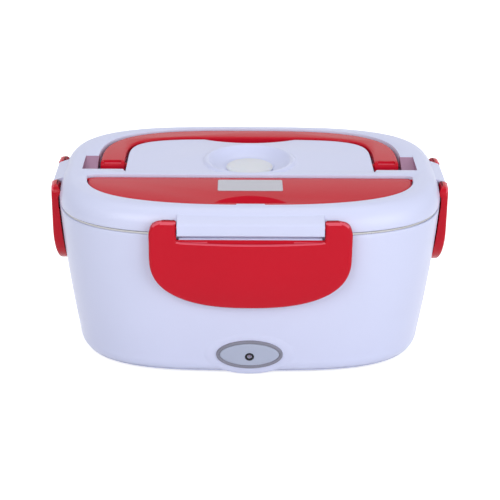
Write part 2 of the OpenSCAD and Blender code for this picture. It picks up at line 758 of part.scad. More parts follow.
// Sloping pockets beside the handle's legs
module side_pockets() {
    pocket_w = 9.7;
    pocket_y = 14;
    for (s = [-1, 1]) translate([s > 0 ? handle_l / 2 : -handle_l / 2 - pocket_w, 0, 0])
        rotate([90, 0, 90]) linear_extrude(pocket_w) polygon([
            [-trough_front, lid_top_z - 5], [-trough_front + 6, lid_top_z - 5],
            [pocket_y, lid_top_z], [pocket_y, lid_top_z + 5], [-trough_front, lid_top_z + 5],
        ]);
}

scoop_r = 60;                                   // radius of the finger scoop's arc
scoop_bite = 4;                                 // how far its floor cuts in before the handle
scoop_flare = 4;                                // how far its wall leans
scoop_depth = 6.4;

module finger_scoop() {
    floor_z = handle_top_z - scoop_depth;
    translate([0, handle_y - bar_w + scoop_r - scoop_bite, 0]) difference() {
        translate([0, 0, floor_z])
            cylinder(h = deck_z + 0.1 - floor_z, r1 = scoop_r, r2 = scoop_r + scoop_flare, $fn = 128);
        translate([-2 * scoop_r, scoop_bite + 1 - scoop_r, floor_z - 1]) cube([4 * scoop_r, 4 * scoop_r, 20]);
    }
}

valve_stem_r = 3;
cover_pivot_y = -cover_y - 3;
cover_pivot_z = cover_top_z - cover_t / 2;
cover_stub_x = cover_l / 2 - 1.2;
hinge_room = 2.6;                               // room in front of the cover's hinge for its rear edge
lip_l = 17;                                     // lip of the lid in the cover's front edge
lip_w = 1.4;
spoon_floor_z = core_z + 1.2;

// The middle of the lid's top, inside the handle's trough
module deck_region() {
    hx = handle_l / 2 - leg_w - trough_gap;
    translate([0, 0, core_z - 1]) linear_extrude(lid_top_z - core_z + 4) polygon([
        [-hx, -cover_y + 0.5], [hx, -cover_y + 0.5],
        each [for (q = half_outline(2 * hx, handle_y - bar_w - handle_pivot_y - trough_gap, handle_inner_p))
            q + [0, handle_pivot_y]],
    ]);
}

// The part of the deck that the finger scoop cuts into
module scoop_region() {
    half = sqrt(pow(scoop_r + scoop_flare, 2) - pow(scoop_r - scoop_bite + trough_gap, 2)) + 2;
    translate([-half, handle_y - bar_w - scoop_bite - scoop_flare - 1.5, core_z - 1])
        cube([2 * half, handle_y, lid_top_z - core_z + 4]);
}

module lid_shell() {
    color(white) difference() {
        lid_top();
        deck_region();
    }
}

module lid_deck() {
    color(white) difference() {
        intersection() {
            lid_top();
            deck_region();
        }
        scoop_region();
    }
}

// The deck's rear edge, with the finger scoop in it
module lid_scoop() {
    color(white) intersection() {
        lid_top();
        deck_region();
        scoop_region();
    }
}

// The whole top moulding
module lid_top() {
    difference() {
        union() {
            difference() {
                lid_body();
                for (side = [0, 180]) on_side(side) ear_room(case_w / 2, latch_half, lug_half);
                for (side = [90, 270]) on_side(side) ear_room(case_l / 2, end_latch_half, end_lug_half);
            }
            for (side = [0, 180]) on_side(side) lug(case_w / 2, lug_half);
            for (side = [90, 270]) on_side(side) lug(case_l / 2, end_lug_half);
        }
        for (side = [0, 180]) on_side(side) stub_bores(case_w / 2, lug_half);
        for (side = [90, 270]) on_side(side) stub_bores(case_l / 2, end_lug_half);
        plate(case_l - 2 * skirt_t, case_w - 2 * skirt_t, lid_z - 1, core_z);
        lid_cores();
        deck_cut();
        vent_cut();
        finger_scoop();
        translate([0, 0, trough_z]) linear_extrude(20) handle_plan(trough_gap, -trough_front);
        side_pockets();
        for (s = [-1, 1]) translate([s * (handle_l / 2 - leg_w - trough_gap - 1), handle_pivot_y, handle_pivot_z])
            rod_x(handle_stub_r + pin_gap, 4);
        translate([0, 0, cover_top_z - cover_t - 0.1]) linear_extrude(10) difference() {
            cover_plan(0.5);
            translate([fit_gap - lip_l / 2, -cover_y - cover_w - 2]) square([lip_l - 2 * fit_gap, 2 + lip_w - fit_gap]);
        }
        spoon_hollow();
        translate([0, cover_pivot_y, cover_pivot_z]) rod_x(0.9 + pin_gap, 2 * cover_stub_x + 6.4);
    }
}

// The compartment under the spoon cover
module spoon_hollow() {
    translate([0, 0, spoon_floor_z]) linear_extrude(cover_top_z - spoon_floor_z) intersection() {
        cover_plan(-3);
        translate([-case_l, -case_w]) square([2 * case_l, case_w - cover_y - 3]);
    }
    translate([-cover_l / 2 - 0.5, cover_pivot_y - hinge_room, cover_pivot_z - 3.8])
        cube([cover_l + 1, hinge_room + 3.5, 4]);
}

module lid_liner() {
    inset = 2 * (skirt_t + 4.8);
    color("white") difference() {
        plate(case_l - inset, case_w - inset, lid_z + 0.6, core_z);
        plate(case_l - inset - 12, case_w - inset - 12, lid_z, core_z - 1.4);
        translate([0, vent_y, 0]) cylinder(h = 200, r = 8, $fn = round_fn);
    }
}

module lid_seal() {
    outer = 2 * (skirt_t + fit_gap);
    inner = 2 * (skirt_t + 4.6);
    color("whitesmoke") difference() {
        union() {
            plate(case_l - outer, case_w - outer, lid_z + 0.6, core_z);
            plate(case_l - outer - 3, case_w - outer - 3, pan_rim_z + pan_rim_t + seat_gap, lid_z + 1);
        }
        plate(case_l - inner, case_w - inner, lid_z - 1, core_z + 1);
    }
}

module vent_valve() {
    floor_z = core_z + 1.8;
    color("whitesmoke") translate([0, vent_y, 0]) rotate_extrude($fn = round_fn) polygon([
        [0, core_z - valve_lift - 1.4], [2.4, core_z - valve_lift - 1.4],
        [4.2, core_z - valve_lift - 0.4], [4.2, core_z - valve_lift - 0.1],
        [valve_stem_r, core_z - valve_lift - 0.1], [valve_stem_r, floor_z],
        [valve_r, floor_z], [valve_r, floor_z + 0.5],
        [valve_r - 1.2, floor_z + 1.1], [valve_r * 0.66, floor_z + 1.5],
        [valve_r * 0.6, floor_z + 1.2], [valve_r * 0.3, floor_z + 1.2],
        [valve_r * 0.25, floor_z + 2], [0, floor_z + 2.3],
    ]);
}

module carry_handle() {
    color(red) difference() {
        intersection() {
            translate([0, 0, handle_pivot_z - 10]) linear_extrude(20)
                handle_plan(0, handle_pivot_y - handle_end_r);
            translate([-150, 0, 0]) rotate([90, 0, 90]) linear_extrude(300) polygon([
                each arc(handle_pivot_y, handle_pivot_z, handle_end_r, 270, 90, 12),
                [handle_y - 1.5, handle_top_z], [handle_y + 1, handle_top_z - 1.5],
                [handle_y + 1, handle_top_z - handle_t], [handle_pivot_y + 3, handle_top_z - handle_t],
            ]);
        }
    }
    color(red) for (s = [-1, 1])
        translate([s * (handle_l / 2 - leg_w - 0.5), handle_pivot_y, handle_pivot_z])
            rod_x(handle_stub_r, 1 + 2 * (trough_gap + 0.9));
}

// The thumb dish dips into the compartment, in front of the spoon's stem
module spoon_cover() {
    z0 = cover_top_z - cover_t;
    notch_y = -cover_y - cover_w - notch_r + 15.8;
    dish_z = z0 - 1.6;
    dish_slope = 6;
    dish_t = 1.2;
    color(red) {
        difference() {
            union() {
                translate([0, 0, z0]) linear_extrude(cover_t) cover_plan(0);
                intersection() {
                    translate([0, notch_y, dish_z - dish_t])
                        cylinder(h = z0 - dish_z + dish_t + 0.2, r1 = notch_r - dish_slope + 1,
                            r2 = notch_r - dish_slope / 2 + 2, $fn = round_fn);
                    translate([0, 0, dish_z - 2 * dish_t]) linear_extrude(cover_t + 4) cover_plan(-3.8);
                }
            }
            intersection() {
                translate([0, notch_y, dish_z])
                    cylinder(h = cover_top_z - dish_z + 0.01, r1 = notch_r - dish_slope, r2 = notch_r, $fn = round_fn);
                translate([0, 0, dish_z - 1]) linear_extrude(10) cover_plan(-5);
            }
            translate([-lip_l / 2, -cover_y - cover_w - 1, z0 - 1]) cube([lip_l, 1 + lip_w, 10]);
        }
        for (s = [-1, 1]) translate([s * cover_stub_x, cover_pivot_y, cover_pivot_z])
            rod_x(0.9, 6);
    }
}

module blank_plate() {
    color("lightgray") translate([0, -cover_y - 15, cover_top_z]) linear_extrude(0.5)
        polygon(rounded(plate_l, plate_w, 1));
}

// A one-piece spoon: an oval bowl and a flat tapering stem
module spoon() {
    bowl_x = 42;
    sy = -cover_y - 20;
    z0 = spoon_floor_z + seat_gap;
    color("white") difference() {
        union() {
            translate([bowl_x, sy, 0]) loft([
                ring(26, 16, z0, 2), ring(40, 27, z0 + 1.4, 2.1), ring(46, 32, z0 + 3.6, 2.2),
            ]);
            translate([0, 0, z0 + 1.6]) linear_extrude(1.8) polygon([
                [bowl_x - 18, sy - 5], [bowl_x - 30, sy - 3.6], [bowl_x - 60, sy - 4.2], [bowl_x - 100, sy - 7],
                each arc(bowl_x - 106, sy, 8, 250, 110, 8),
                [bowl_x - 100, sy + 7], [bowl_x - 60, sy + 4.2], [bowl_x - 30, sy + 3.6], [bowl_x - 18, sy + 5],
            ]);
            translate([bowl_x - 104, sy - 3, z0]) cube([6, 6, 2]);
        }
        translate([bowl_x, sy, 0]) loft([
            ring(22, 13, z0 + 1.2, 2), ring(37, 24, z0 + 2.4, 2.1), ring(43.4, 29.4, z0 + 4, 2.2),
        ]);
    }
}

// ---- Latches ----
latch_gap = 0.6;                                // gap between a latch and the wall
latch_wide_z = latch_z + 31.5;                  // where a latch is widest
latch_p = 2.25;
shelf_z = catch_z - 1;                          // upper edge of the latch's plate
latch_skin = 2;
window_sag = 1.9;                               // hollow of the plate's upper edge
window_up = 0.1;                                // upper edge at the ears, above the shelf

// Local outward distance of the wall at height z, for a side whose rim is at side_d
function wall_d(z, side_d, foot_d) = foot_d + (side_d - foot_d) * min(1, rise(z));

// Points of a latch's D-shaped outline, seen square on, inset by d
function latch_outline(half, d) = [
    for (i = [0:24]) let (a = 180 + 180 * i / 24)
        [(half - d) * spow(cos(a), 2 / latch_p), latch_wide_z + (latch_wide_z - latch_z - d) * spow(sin(a), 2 / latch_p)]
];

// A curved slab that follows the wall, between inner and outer skins
module latch_slab(side_d, foot_d, plan_r, inner_extra) {
    zs = [for (i = [0:8]) latch_z - 1 + (shelf_z + 2 - latch_z + 1) * i / 8];
    top = latch_wide_z - 6;
    translate([0, plan_r - side_d, 0]) rotate([0, 0, 270 - 12]) rotate_extrude(angle = 24, $fn = curve_fn)
        polygon([
            for (z = zs) [plan_r + wall_d(z, side_d, foot_d) - side_d + latch_gap + inner_extra, z],
            for (i = [8:-1:0]) let (z = zs[i], drop = max(0, (top - z) / (top - latch_z)))
                [plan_r + latch_out - 3.3 * drop * drop, z],
        ]);
}

module latch(side_d, foot_d, half, lug_d, plan_r) {
    ear_w = half - lug_d - 0.4;
    corner = 7;
    color(red) {
        difference() {
            intersection() {
                latch_slab(side_d, foot_d, plan_r, 0);
                rotate([90, 0, 0]) linear_extrude(side_d + 40) polygon([
                    each latch_outline(half, 0),
                    [half, shelf_z + 1], [lug_d + 0.4, shelf_z + 1],
                    for (i = [6:-1:-6]) [(lug_d + 0.4) * i / 6.001, shelf_z + window_up - window_sag * (1 - pow(i / 6, 2))],
                    [-lug_d - 0.4, shelf_z + 1], [-half, shelf_z + 1],
                ]);
            }
            intersection() {
                latch_slab(side_d, foot_d, plan_r, -2);
                rotate([90, 0, 0]) linear_extrude(side_d + 40) polygon([
                    each latch_outline(half, 3),
                    [half - 3, shelf_z - 3.6], [-half + 3, shelf_z - 3.6],
                ]);
                translate([0, plan_r - side_d, latch_z]) cylinder(h = shelf_z - latch_z,
                    r1 = plan_r + latch_out - 3.3 - latch_skin, r2 = plan_r + latch_out - latch_skin, $fn = curve_fn);
            }
        }
        for (s = [-1, 1]) {
            // Ears: they run up from the plate and turn about the hinge
            intersection() {
                translate([s > 0 ? lug_d + 0.4 : -half, 0, 0]) rotate([90, 0, 90]) linear_extrude(ear_w) polygon([
                    [-side_d - latch_gap, shelf_z - 2], [-side_d - latch_out + 0.2, shelf_z - 2],
                    each arc(-side_d - pivot_out, pivot_z, ear_r, 180 + 45, 90, 10),
                    each arc(-side_d - pivot_out, pivot_z, 2.7, 40, -60, 6),
                    [-side_d - latch_gap, pivot_z - 3.4],
                ]);
                rotate([90, 0, 0]) linear_extrude(side_d + 40) polygon([
                    [-half, 0], [half, 0],
                    each arc(half - corner, pivot_z + ear_r - corner, corner, 0, 90, 6),
                    each arc(corner - half, pivot_z + ear_r - corner, corner, 90, 180, 6),
                ]);
                translate([0, plan_r - side_d, 0]) cylinder(h = 200, r = plan_r + latch_out, $fn = curve_fn);
            }
            translate([s * (lug_d - 0.8), -side_d - pivot_out, pivot_z]) rod_x(stub_r, 3.6);
        }
    }
}

module long_latch() {
    latch(case_w / 2, base_w / 2, latch_half, lug_half, 900);
}

module short_latch() {
    latch(case_l / 2, base_l / 2, end_latch_half, end_lug_half, 450);
}

module latch_front() { long_latch(); }
module latch_rear() { rotate([0, 0, 180]) long_latch(); }
module latch_right() { rotate([0, 0, 90]) short_latch(); }
module latch_left() { rotate([0, 0, 270]) short_latch(); }

outer_case();
inner_liner();
base_cover();
base_screws();
rubber_feet();
heater_plate();
plate_gasket();
ptc_heater();
heater_clamp();
clamp_screws();
thermostat();
thermal_fuse();
lamp_board();
indicator_led();
lamp_bezel();
lamp_face();
lamp_holder();
inlet_socket();
inlet_pins();
inlet_cap();
wiring();
food_pan();
side_tray();
tray_lid();
lid_shell();
lid_deck();
lid_scoop();
lid_liner();
lid_seal();
vent_valve();
carry_handle();
spoon_cover();
blank_plate();
spoon();
latch_front();
latch_rear();
latch_left();
latch_right();
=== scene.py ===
import json
import math

import bmesh
import bpy
import numpy as np
from mathutils import Matrix, Vector
from mathutils.geometry import delaunay_2d_cdt


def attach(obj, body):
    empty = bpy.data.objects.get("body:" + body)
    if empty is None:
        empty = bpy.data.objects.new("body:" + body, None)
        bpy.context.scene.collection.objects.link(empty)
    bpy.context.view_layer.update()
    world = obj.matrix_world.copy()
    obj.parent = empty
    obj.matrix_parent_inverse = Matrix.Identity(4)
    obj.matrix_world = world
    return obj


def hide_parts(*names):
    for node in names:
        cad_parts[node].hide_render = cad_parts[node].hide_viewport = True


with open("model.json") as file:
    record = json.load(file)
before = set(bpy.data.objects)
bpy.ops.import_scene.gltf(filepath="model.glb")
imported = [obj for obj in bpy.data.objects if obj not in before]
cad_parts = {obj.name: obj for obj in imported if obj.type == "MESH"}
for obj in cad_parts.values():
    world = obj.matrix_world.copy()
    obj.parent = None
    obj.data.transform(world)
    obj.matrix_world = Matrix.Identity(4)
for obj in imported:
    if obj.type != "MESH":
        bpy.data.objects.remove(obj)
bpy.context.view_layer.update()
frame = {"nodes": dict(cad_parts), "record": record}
nodes = frame["nodes"]
scene = bpy.context.scene

# ---- Sizes of the part, in millimetres, as in its CAD source ----
CASE_L, CASE_W, BASE_L, BASE_W, RIM_Z = 228.6, 163.4, 210.4, 147.4, 93.8
PLAN_P, WALL_BOW, TOE_Z, TOE_IN, JOINT_Z, FOOT_H = 3.3, 0.44, 11.5, 7.2, 4.5, 1.5
PANEL_A, PANEL_B, PANEL_Z, PANEL_BORDER, BOSS_A = 19.6, 9.8, 16.1, 2.1, 7.4
LENS_R, LAMP_DROP = 1.7, 1.4
LID_Z, LID_TOP, SHOULDER_W, SHOULDER_L, SKIRT_T = 95.4, 108.6, 11.2, 8.0, 3.0
SHOULDER_Z = LID_Z + 1.4                        # where the lid's shoulder starts
CORE_Z, TROUGH_Z, DECK_Z, COVER_TOP, HANDLE_TOP = 98.2, 99.6, 107.1, 107.4, 108.0
VENT_Y, VENT_R, VENT_FLOOR_R, VALVE_R, STEM_R = 9.0, 28.3, 17.0, 14.5, 3.0
HANDLE_L, LEG_W, BAR_W, HANDLE_Y, HANDLE_T = 182.6, 14.6, 14.4, 64.6, 7.0
HANDLE_PY, HANDLE_END_R = 7.0, 4                # the handle's pivot, and its legs' rounded ends
HANDLE_PZ = HANDLE_TOP - HANDLE_END_R
BAIL_P, LOOP_P = 3.1, 4.4                       # exponents of the handle's outer and inner outline
TROUGH_GAP, TROUGH_FRONT, POCKET_W = 1.7, 11.0, 9.7
COVER_Y, COVER_T, NOTCH_R, LIP_L, LIP_W = 21.0, 2.2, 24.4, 17.0, 1.4
COVER_PIVOT_DOWN, COVER_CORNER = 1.1, 5
SCOOP_R, SCOOP_BITE, SCOOP_FLARE, SCOOP_DEPTH = 60.0, 4.0, 4.0, 6.4
DECK_FRONT = -COVER_Y + 6
LATCH_OUT, PIVOT_OUT, PIVOT_Z, EAR_R = 4.7, 1.9, 99.9, 3.9
SHELF_Z, WIDE_Z, LATCH_GAP = 90.4, 81.9, 0.6
CATCH_Z, CATCH_OUT, CATCH_SIDE = 91.4, 1.3, 1

# ---- Sizes that the scene draws closer to the photograph than the CAD source has them ----
REAR_W = 14.5                                   # width of the lid's rear shoulder
COVER_L, COVER_W, COVER_P = 192.6, 47.6, 2.5
LATCH_Z, LATCH_P, WINDOW_SAG, WINDOW_UP = 49.6, 2.45, 1.0, 1.3
REAR_EAR_DROP = 1.1                             # how much lower the rear latch's ears end
POCKET_D = 6.2
VENT_FLOOR_Z = CORE_Z + 3.9
VALVE_Z = CORE_Z + 4.0                          # underside of the valve's disc

# ---- Sizes that only the scene has ----
WALL_T, RIM_T = 2.4, 1.8                        # the shell's wall, and its rim where the edge is round
BADGE_L, BADGE_W = 38, 17.6
PIN_X, SOCKET_X = 76.2, 74                      # the handle's stubs, and their sockets in the trough
WEB_TOP = 92.6                                  # web behind a latch's window
SCOOP_X, SCOOP_FRONT, SCOOP_BACK = 80.0, 30.0, 51.2     # the strip that the finger recess is kept to
REAR = 180                                      # turn of the rear side
SMOOTH_ANGLE, NODE_ANGLE = 38, 32               # degrees, for the scene's pieces and the CAD nodes

# Each latch: from the middle to the wall at the rim and at the foot, half widths of the latch and of
# the lid's lug, radius of its plan curve, turn about the upright axis, radius of its ears' corners
SIDES = {
    "latch_front": (CASE_W / 2, BASE_W / 2, 57.4, 41.4, 900, 0, 8.4),
    "latch_rear": (CASE_W / 2, BASE_W / 2, 57.4, 41.4, 900, REAR, 8.4),
    "latch_right": (CASE_L / 2, BASE_L / 2, 29.5, 16, 450, 90, 6.0),
    "latch_left": (CASE_L / 2, BASE_L / 2, 29.5, 16, 450, 270, 6.0),
}


# ---- Mesh helpers ----
def spow(v, e):
    """A power that keeps the sign."""
    return np.sign(v) * np.abs(v) ** e


def resample(points, n):
    """n points evenly spaced along a closed line, starting at its first point."""
    p = np.vstack([points, points[:1]])
    s = np.r_[0, np.cumsum(np.linalg.norm(np.diff(p, axis=0), axis=1))]
    t = np.linspace(0, s[-1], n, endpoint=False)
    return np.column_stack([np.interp(t, s, p[:, k]) for k in range(p.shape[1])])


def oval(l, w, p=PLAN_P, n=256):
    """A superellipse; p = 2 is an ellipse."""
    a = np.linspace(0, 2 * np.pi, 8 * n, endpoint=False)
    return resample(np.column_stack([l / 2 * spow(np.cos(a), 2 / p), w / 2 * spow(np.sin(a), 2 / p)]), n)


def even(points, n):
    """n points evenly spaced along an open line, its ends among them."""
    s = np.r_[0, np.cumsum(np.linalg.norm(np.diff(points, axis=0), axis=1))]
    t = np.linspace(0, s[-1], n)
    return np.column_stack([np.interp(t, s, points[:, k]) for k in range(2)])


def half_oval(l, w, p, n):
    """n even points along the upper half of a superellipse that is l long and reaches up by w."""
    a = np.linspace(0, np.pi, 401)
    return even(np.column_stack([l / 2 * spow(np.cos(a), 2 / p), w * spow(np.sin(a), 2 / p)]), n)


def at_z(points, z):
    return np.column_stack([points, np.full(len(points), z)])


def offset(points, d):
    """A closed counter-clockwise line moved outward by d."""
    e = np.roll(points, -1, 0) - points
    e /= np.maximum(np.linalg.norm(e, axis=1), 1e-9)[:, None]
    n1 = np.column_stack([e[:, 1], -e[:, 0]])
    n0 = np.roll(n1, 1, 0)
    k = np.maximum(1 + (n0 * n1).sum(1), 0.35)[:, None]
    return points + d * (n0 + n1) / k


def loft(rings, caps=True):
    n, m = len(rings[0]), len(rings)
    faces = [(j * n + i, j * n + (i + 1) % n, (j + 1) * n + (i + 1) % n, (j + 1) * n + i)
             for j in range(m - 1) for i in range(n)]
    if caps:
        faces += [tuple(range(n - 1, -1, -1)), tuple(range((m - 1) * n, m * n))]
    return np.vstack(rings), faces


def disc(r, n, centre=(0, 0)):
    a = np.linspace(0, 2 * np.pi, n, endpoint=False)
    return np.column_stack([centre[0] + r * np.cos(a), centre[1] + r * np.sin(a)])


def lathe(profile, n, centre, caps=False):
    """Rings of (radius, height) about an upright axis."""
    return loft([at_z(disc(r, n, centre), z) for r, z in profile], caps)


def rod(r, x0, x1, y, z, n=40):
    c = disc(r, n, (y, z))
    return loft([np.column_stack([np.full(n, x), c]) for x in (x0, x1)])


def extruded(section, span):
    """A (y, z) section drawn out along x."""
    return loft([np.array([(x, y, z) for y, z in section]) for x in span])


def stack(outline, profile, caps=True):
    """Rings of an outline that grows by each step's offset at that step's height."""
    return loft([at_z(offset(outline, d) if d else outline, z) for d, z in profile], caps)


def join(*parts):
    verts, faces, k = [], [], 0
    for v, f in parts:
        verts.append(np.asarray(v, float))
        faces += [tuple(i + k for i in q) for q in f]
        k += len(v)
    return np.vstack(verts), faces


def moved(part, fn):
    return fn(np.asarray(part[0], float)), part[1]


def turned(degrees):
    """A turn about the upright axis, for moved()."""
    c, s = (round(fn(math.radians(degrees)), 9) for fn in (math.cos, math.sin))
    return lambda v: np.column_stack([v[:, 0] * c - v[:, 1] * s, v[:, 0] * s + v[:, 1] * c, v[:, 2]])


def shade(mesh, angle=SMOOTH_ANGLE):
    mesh.shade_smooth()
    mesh.set_sharp_from_angle(angle=math.radians(angle))


def build(name, part, material):
    """An object in metres from vertices in millimetres."""
    me = bpy.data.meshes.new(name)
    me.from_pydata((np.asarray(part[0], float) / 1000).tolist(), [], [list(f) for f in part[1]])
    me.validate()
    me.update()
    ob = bpy.data.objects.new(name, me)
    scene.collection.objects.link(ob)
    if material:
        me.materials.append(material)
    shade(me)
    return ob


def boolean(ob, tools, operation="DIFFERENCE"):
    """Applies the tools to the object and deletes them."""
    for t in tools:
        m = ob.modifiers.new("cut", "BOOLEAN")
        m.operation, m.solver, m.object = operation, "EXACT", t
    bpy.context.view_layer.update()
    me = bpy.data.meshes.new_from_object(ob.evaluated_get(bpy.context.evaluated_depsgraph_get()))
    ob.modifiers.clear()
    ob.data = me
    for t in tools:
        bpy.data.objects.remove(t)
    shade(me)
    return ob


def tool(part):
    return build("cutter", part, None)


def cutter(outline, profile):
    return tool(stack(outline, profile))


def prism(outline, z0, z1):
    return cutter(outline, [(0, z0), (0, z1)])


def rounded(l, w, r):
    """A rectangle with round corners."""
    n = 8
    pts = []
    for cx, cy, a0 in ((l / 2 - r, w / 2 - r, 0), (r - l / 2, w / 2 - r, 90),
                       (r - l / 2, r - w / 2, 180), (l / 2 - r, r - w / 2, 270)):
        for i in range(n + 1):
            a = math.radians(a0 + 90 * i / n)
            pts.append((cx + r * math.cos(a), cy + r * math.sin(a)))
    return np.array(pts)


def inside(q, poly):
    """Which of the points q lie in a closed outline."""
    x, y = q[:, 0], q[:, 1]
    a, b = poly, np.roll(poly, -1, 0)
    hit = np.zeros(len(q), bool)
    for (x0, y0), (x1, y1) in zip(a, b):
        cross = ((y0 > y) != (y1 > y))
        if y1 != y0:
            hit ^= cross & (x < (x1 - x0) * (y - y0) / (y1 - y0) + x0)
    return hit


def skin(outline, edge, top, bottom, step):
    """A plate over a closed outline in its own (u, v): rounded edge rings, then a filled middle.

    edge is [(inset, depth)], from the rim inwards; top and bottom give the height at (u, v)."""
    n = len(outline)
    verts, faces = [], []

    def add(points, height):
        verts.append(np.column_stack([points, height]))
        return sum(len(v) for v in verts) - len(points)

    def strip(a, b):
        faces.extend((a + i, a + (i + 1) % n, b + (i + 1) % n, b + i) for i in range(n))

    def fill(points, fn, flip):
        lo, hi = points.min(0), points.max(0)
        gu, gv = np.meshgrid(np.arange(lo[0] + step / 2, hi[0], step),
                             np.arange(lo[1] + step / 2, hi[1], step))
        g = np.column_stack([gu.ravel(), gv.ravel()])
        g = g[inside(g, points)]
        near = np.linalg.norm(g[:, None, :] - points[None, :, :], axis=2).min(axis=1)
        allp = np.vstack([points, g[near > 0.5 * step]])
        out = delaunay_2d_cdt([tuple(q) for q in allp], [], [list(range(len(points)))], 1, 1e-7)
        uv = np.array([tuple(q) for q in out[0]])
        used = add(uv, fn(uv))
        for f in out[2]:
            f = list(f)
            a, b, c = uv[f[0]], uv[f[1]], uv[f[2]]
            turn = (b[0] - a[0]) * (c[1] - a[1]) - (b[1] - a[1]) * (c[0] - a[0])
            if (turn < 0) != flip:
                f.reverse()
            faces.append(tuple(used + i for i in f))

    first = last = None
    for inset, depth in edge:
        pts = offset(outline, -inset) if inset else outline
        cur = add(pts, top(pts) - depth)
        if last is None:
            first = cur
        else:
            strip(last, cur)
        last = cur
    fill(pts, lambda q: top(q) - depth, False)
    rim = add(outline, bottom(outline))
    strip(rim, first)
    strip(add(pts, bottom(pts)), rim)
    fill(pts, bottom, True)
    return np.vstack(verts), faces


def piece(ob, body, slot, *replaced):
    """Says which body a piece rides on and the CAD nodes that it stands for; its slot argument is not used."""
    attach(ob, body)
    if replaced:
        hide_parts(*replaced)


def dress(ob, extra, test):
    """A second material on the faces whose middle and normal, in mm, pass the test: a painted highlight, a
    painted shade or a matt patch.
    """
    ob.data.materials.append(extra)
    k = len(ob.data.materials) - 1
    for f in ob.data.polygons:
        if test(f.center * 1000, f.normal):
            f.material_index = k


def weld(ob, distance=0.02):
    """Joins vertices that are closer than the distance, in mm."""
    bm = bmesh.new()
    bm.from_mesh(ob.data)
    bmesh.ops.remove_doubles(bm, verts=bm.verts, dist=distance / 1000)
    bmesh.ops.recalc_face_normals(bm, faces=bm.faces)
    bm.to_mesh(ob.data)
    bm.free()
    shade(ob.data)


# ---- Materials ----
def material(name, colour, rough, metallic=0.0, coat=0.0, spec=0.5, grain=900.0, bump=0.04, wear=0.06,
             vary=0.03, bevel=0.0, sss=0.0, stretch=(1, 1, 1)):
    """Moulded or metal surface: slow mottling of colour, and a fine grain in its roughness and its bump.

    grain is the scale of the fine noise, wear the spread of roughness, vary that of colour, bevel the
    radius in mm that rounds the shading of edges, and stretch draws the noise out, as brushing does."""
    m = bpy.data.materials.new(name)
    m.use_nodes = True
    nt = m.node_tree
    nt.nodes.clear()
    new, link = nt.nodes.new, nt.links.new
    out, sh = new("ShaderNodeOutputMaterial"), new("ShaderNodeBsdfPrincipled")
    link(sh.outputs[0], out.inputs[0])
    sh.inputs["Metallic"].default_value = metallic
    sh.inputs["Specular IOR Level"].default_value = spec
    sh.inputs["Coat Weight"].default_value = coat
    sh.inputs["Coat Roughness"].default_value = 0.05
    if sss:
        sh.inputs["Subsurface Weight"].default_value = sss
        sh.inputs["Subsurface Radius"].default_value = (0.003, 0.002, 0.0015)
        sh.inputs["Subsurface Scale"].default_value = 0.4
    co, mp = new("ShaderNodeTexCoord"), new("ShaderNodeMapping")
    mp.inputs["Scale"].default_value = stretch
    link(co.outputs["Object"], mp.inputs["Vector"])

    def noise(scale, detail):
        t = new("ShaderNodeTexNoise")
        t.inputs["Scale"].default_value = scale
        t.inputs["Detail"].default_value = detail
        link(mp.outputs[0], t.inputs["Vector"])
        return t.outputs["Fac"]

    slow, fine = noise(22, 3), noise(grain, 2)
    ramp = new("ShaderNodeValToRGB")
    low, high = ramp.color_ramp.elements
    low.position, high.position = 0.3, 0.7
    low.color = (*[c * (1 - vary) for c in colour], 1)
    high.color = (*[min(1, c * (1 + vary)) for c in colour], 1)
    link(slow, ramp.inputs[0])
    link(ramp.outputs[0], sh.inputs["Base Color"])
    span = new("ShaderNodeMapRange")
    span.inputs["To Min"].default_value = rough - wear / 2
    span.inputs["To Max"].default_value = rough + wear / 2
    link(fine, span.inputs["Value"])
    link(span.outputs[0], sh.inputs["Roughness"])
    bp = new("ShaderNodeBump")
    bp.inputs["Strength"].default_value = bump
    bp.inputs["Distance"].default_value = 0.0002
    link(fine, bp.inputs["Height"])
    if bevel:
        bv = new("ShaderNodeBevel")
        bv.samples = 4
        bv.inputs["Radius"].default_value = bevel / 1000
        link(bv.outputs[0], bp.inputs["Normal"])
    link(bp.outputs[0], sh.inputs["Normal"])
    m.diffuse_color = (*colour, 1)
    return m


WHITE = material("white_plastic", (0.64, 0.672, 0.875), 0.3, spec=0.3, bevel=0.45, bump=0.02, vary=0.008)
RED = material("red_plastic", (0.54, 0.0022, 0.0165), 0.24, spec=0.17, bevel=0.5, bump=0.025, vary=0.02)
RED_DEEP = material("red_matt", (0.545, 0.003, 0.018), 0.45, spec=0.04, grain=1500, bump=0.08, vary=0.02)
# Painted highlight: a lighter pink red that stands in for the lamps' sheen on top-facing edges and ledges
RED_PAINTED_HIGHLIGHT = material("red_painted_highlight", (0.72, 0.085, 0.125), 0.3, spec=0.25, bump=0.02, vary=0.02)
# Painted shade with a painted reflection of the red handle: a mauve for the white pockets beside the handle's
# legs
POCKET_PAINTED_SHADE = material("pocket_painted_shade", (0.36, 0.19, 0.30), 0.35, spec=0.3, bevel=0.3, bump=0.02, vary=0.01)
INNER = material("inner_plastic", (0.74, 0.75, 0.80), 0.42, bump=0.05, vary=0.01)
STEEL = material("pan_steel", (0.43, 0.425, 0.43), 0.3, metallic=1, grain=60, bump=0.05, wear=0.16,
                 stretch=(1, 18, 1))
ZINC = material("screw_steel", (0.5, 0.5, 0.52), 0.4, metallic=1, grain=700, wear=0.2)
ALU = material("heater_aluminium", (0.72, 0.73, 0.75), 0.38, metallic=1, grain=500, wear=0.15)
RUBBER = material("foot_rubber", (0.05, 0.05, 0.055), 0.75, grain=1500, bump=0.2)
SILICONE = material("silicone", (0.70, 0.72, 0.77), 0.5, sss=0.25, bump=0.04)
BLACK = material("black_plastic", (0.012, 0.012, 0.015), 0.45, spec=0.2, bump=0.05)
GREY = material("grey_plastic", (0.20, 0.20, 0.255), 0.38, bevel=0.2, bump=0.03)
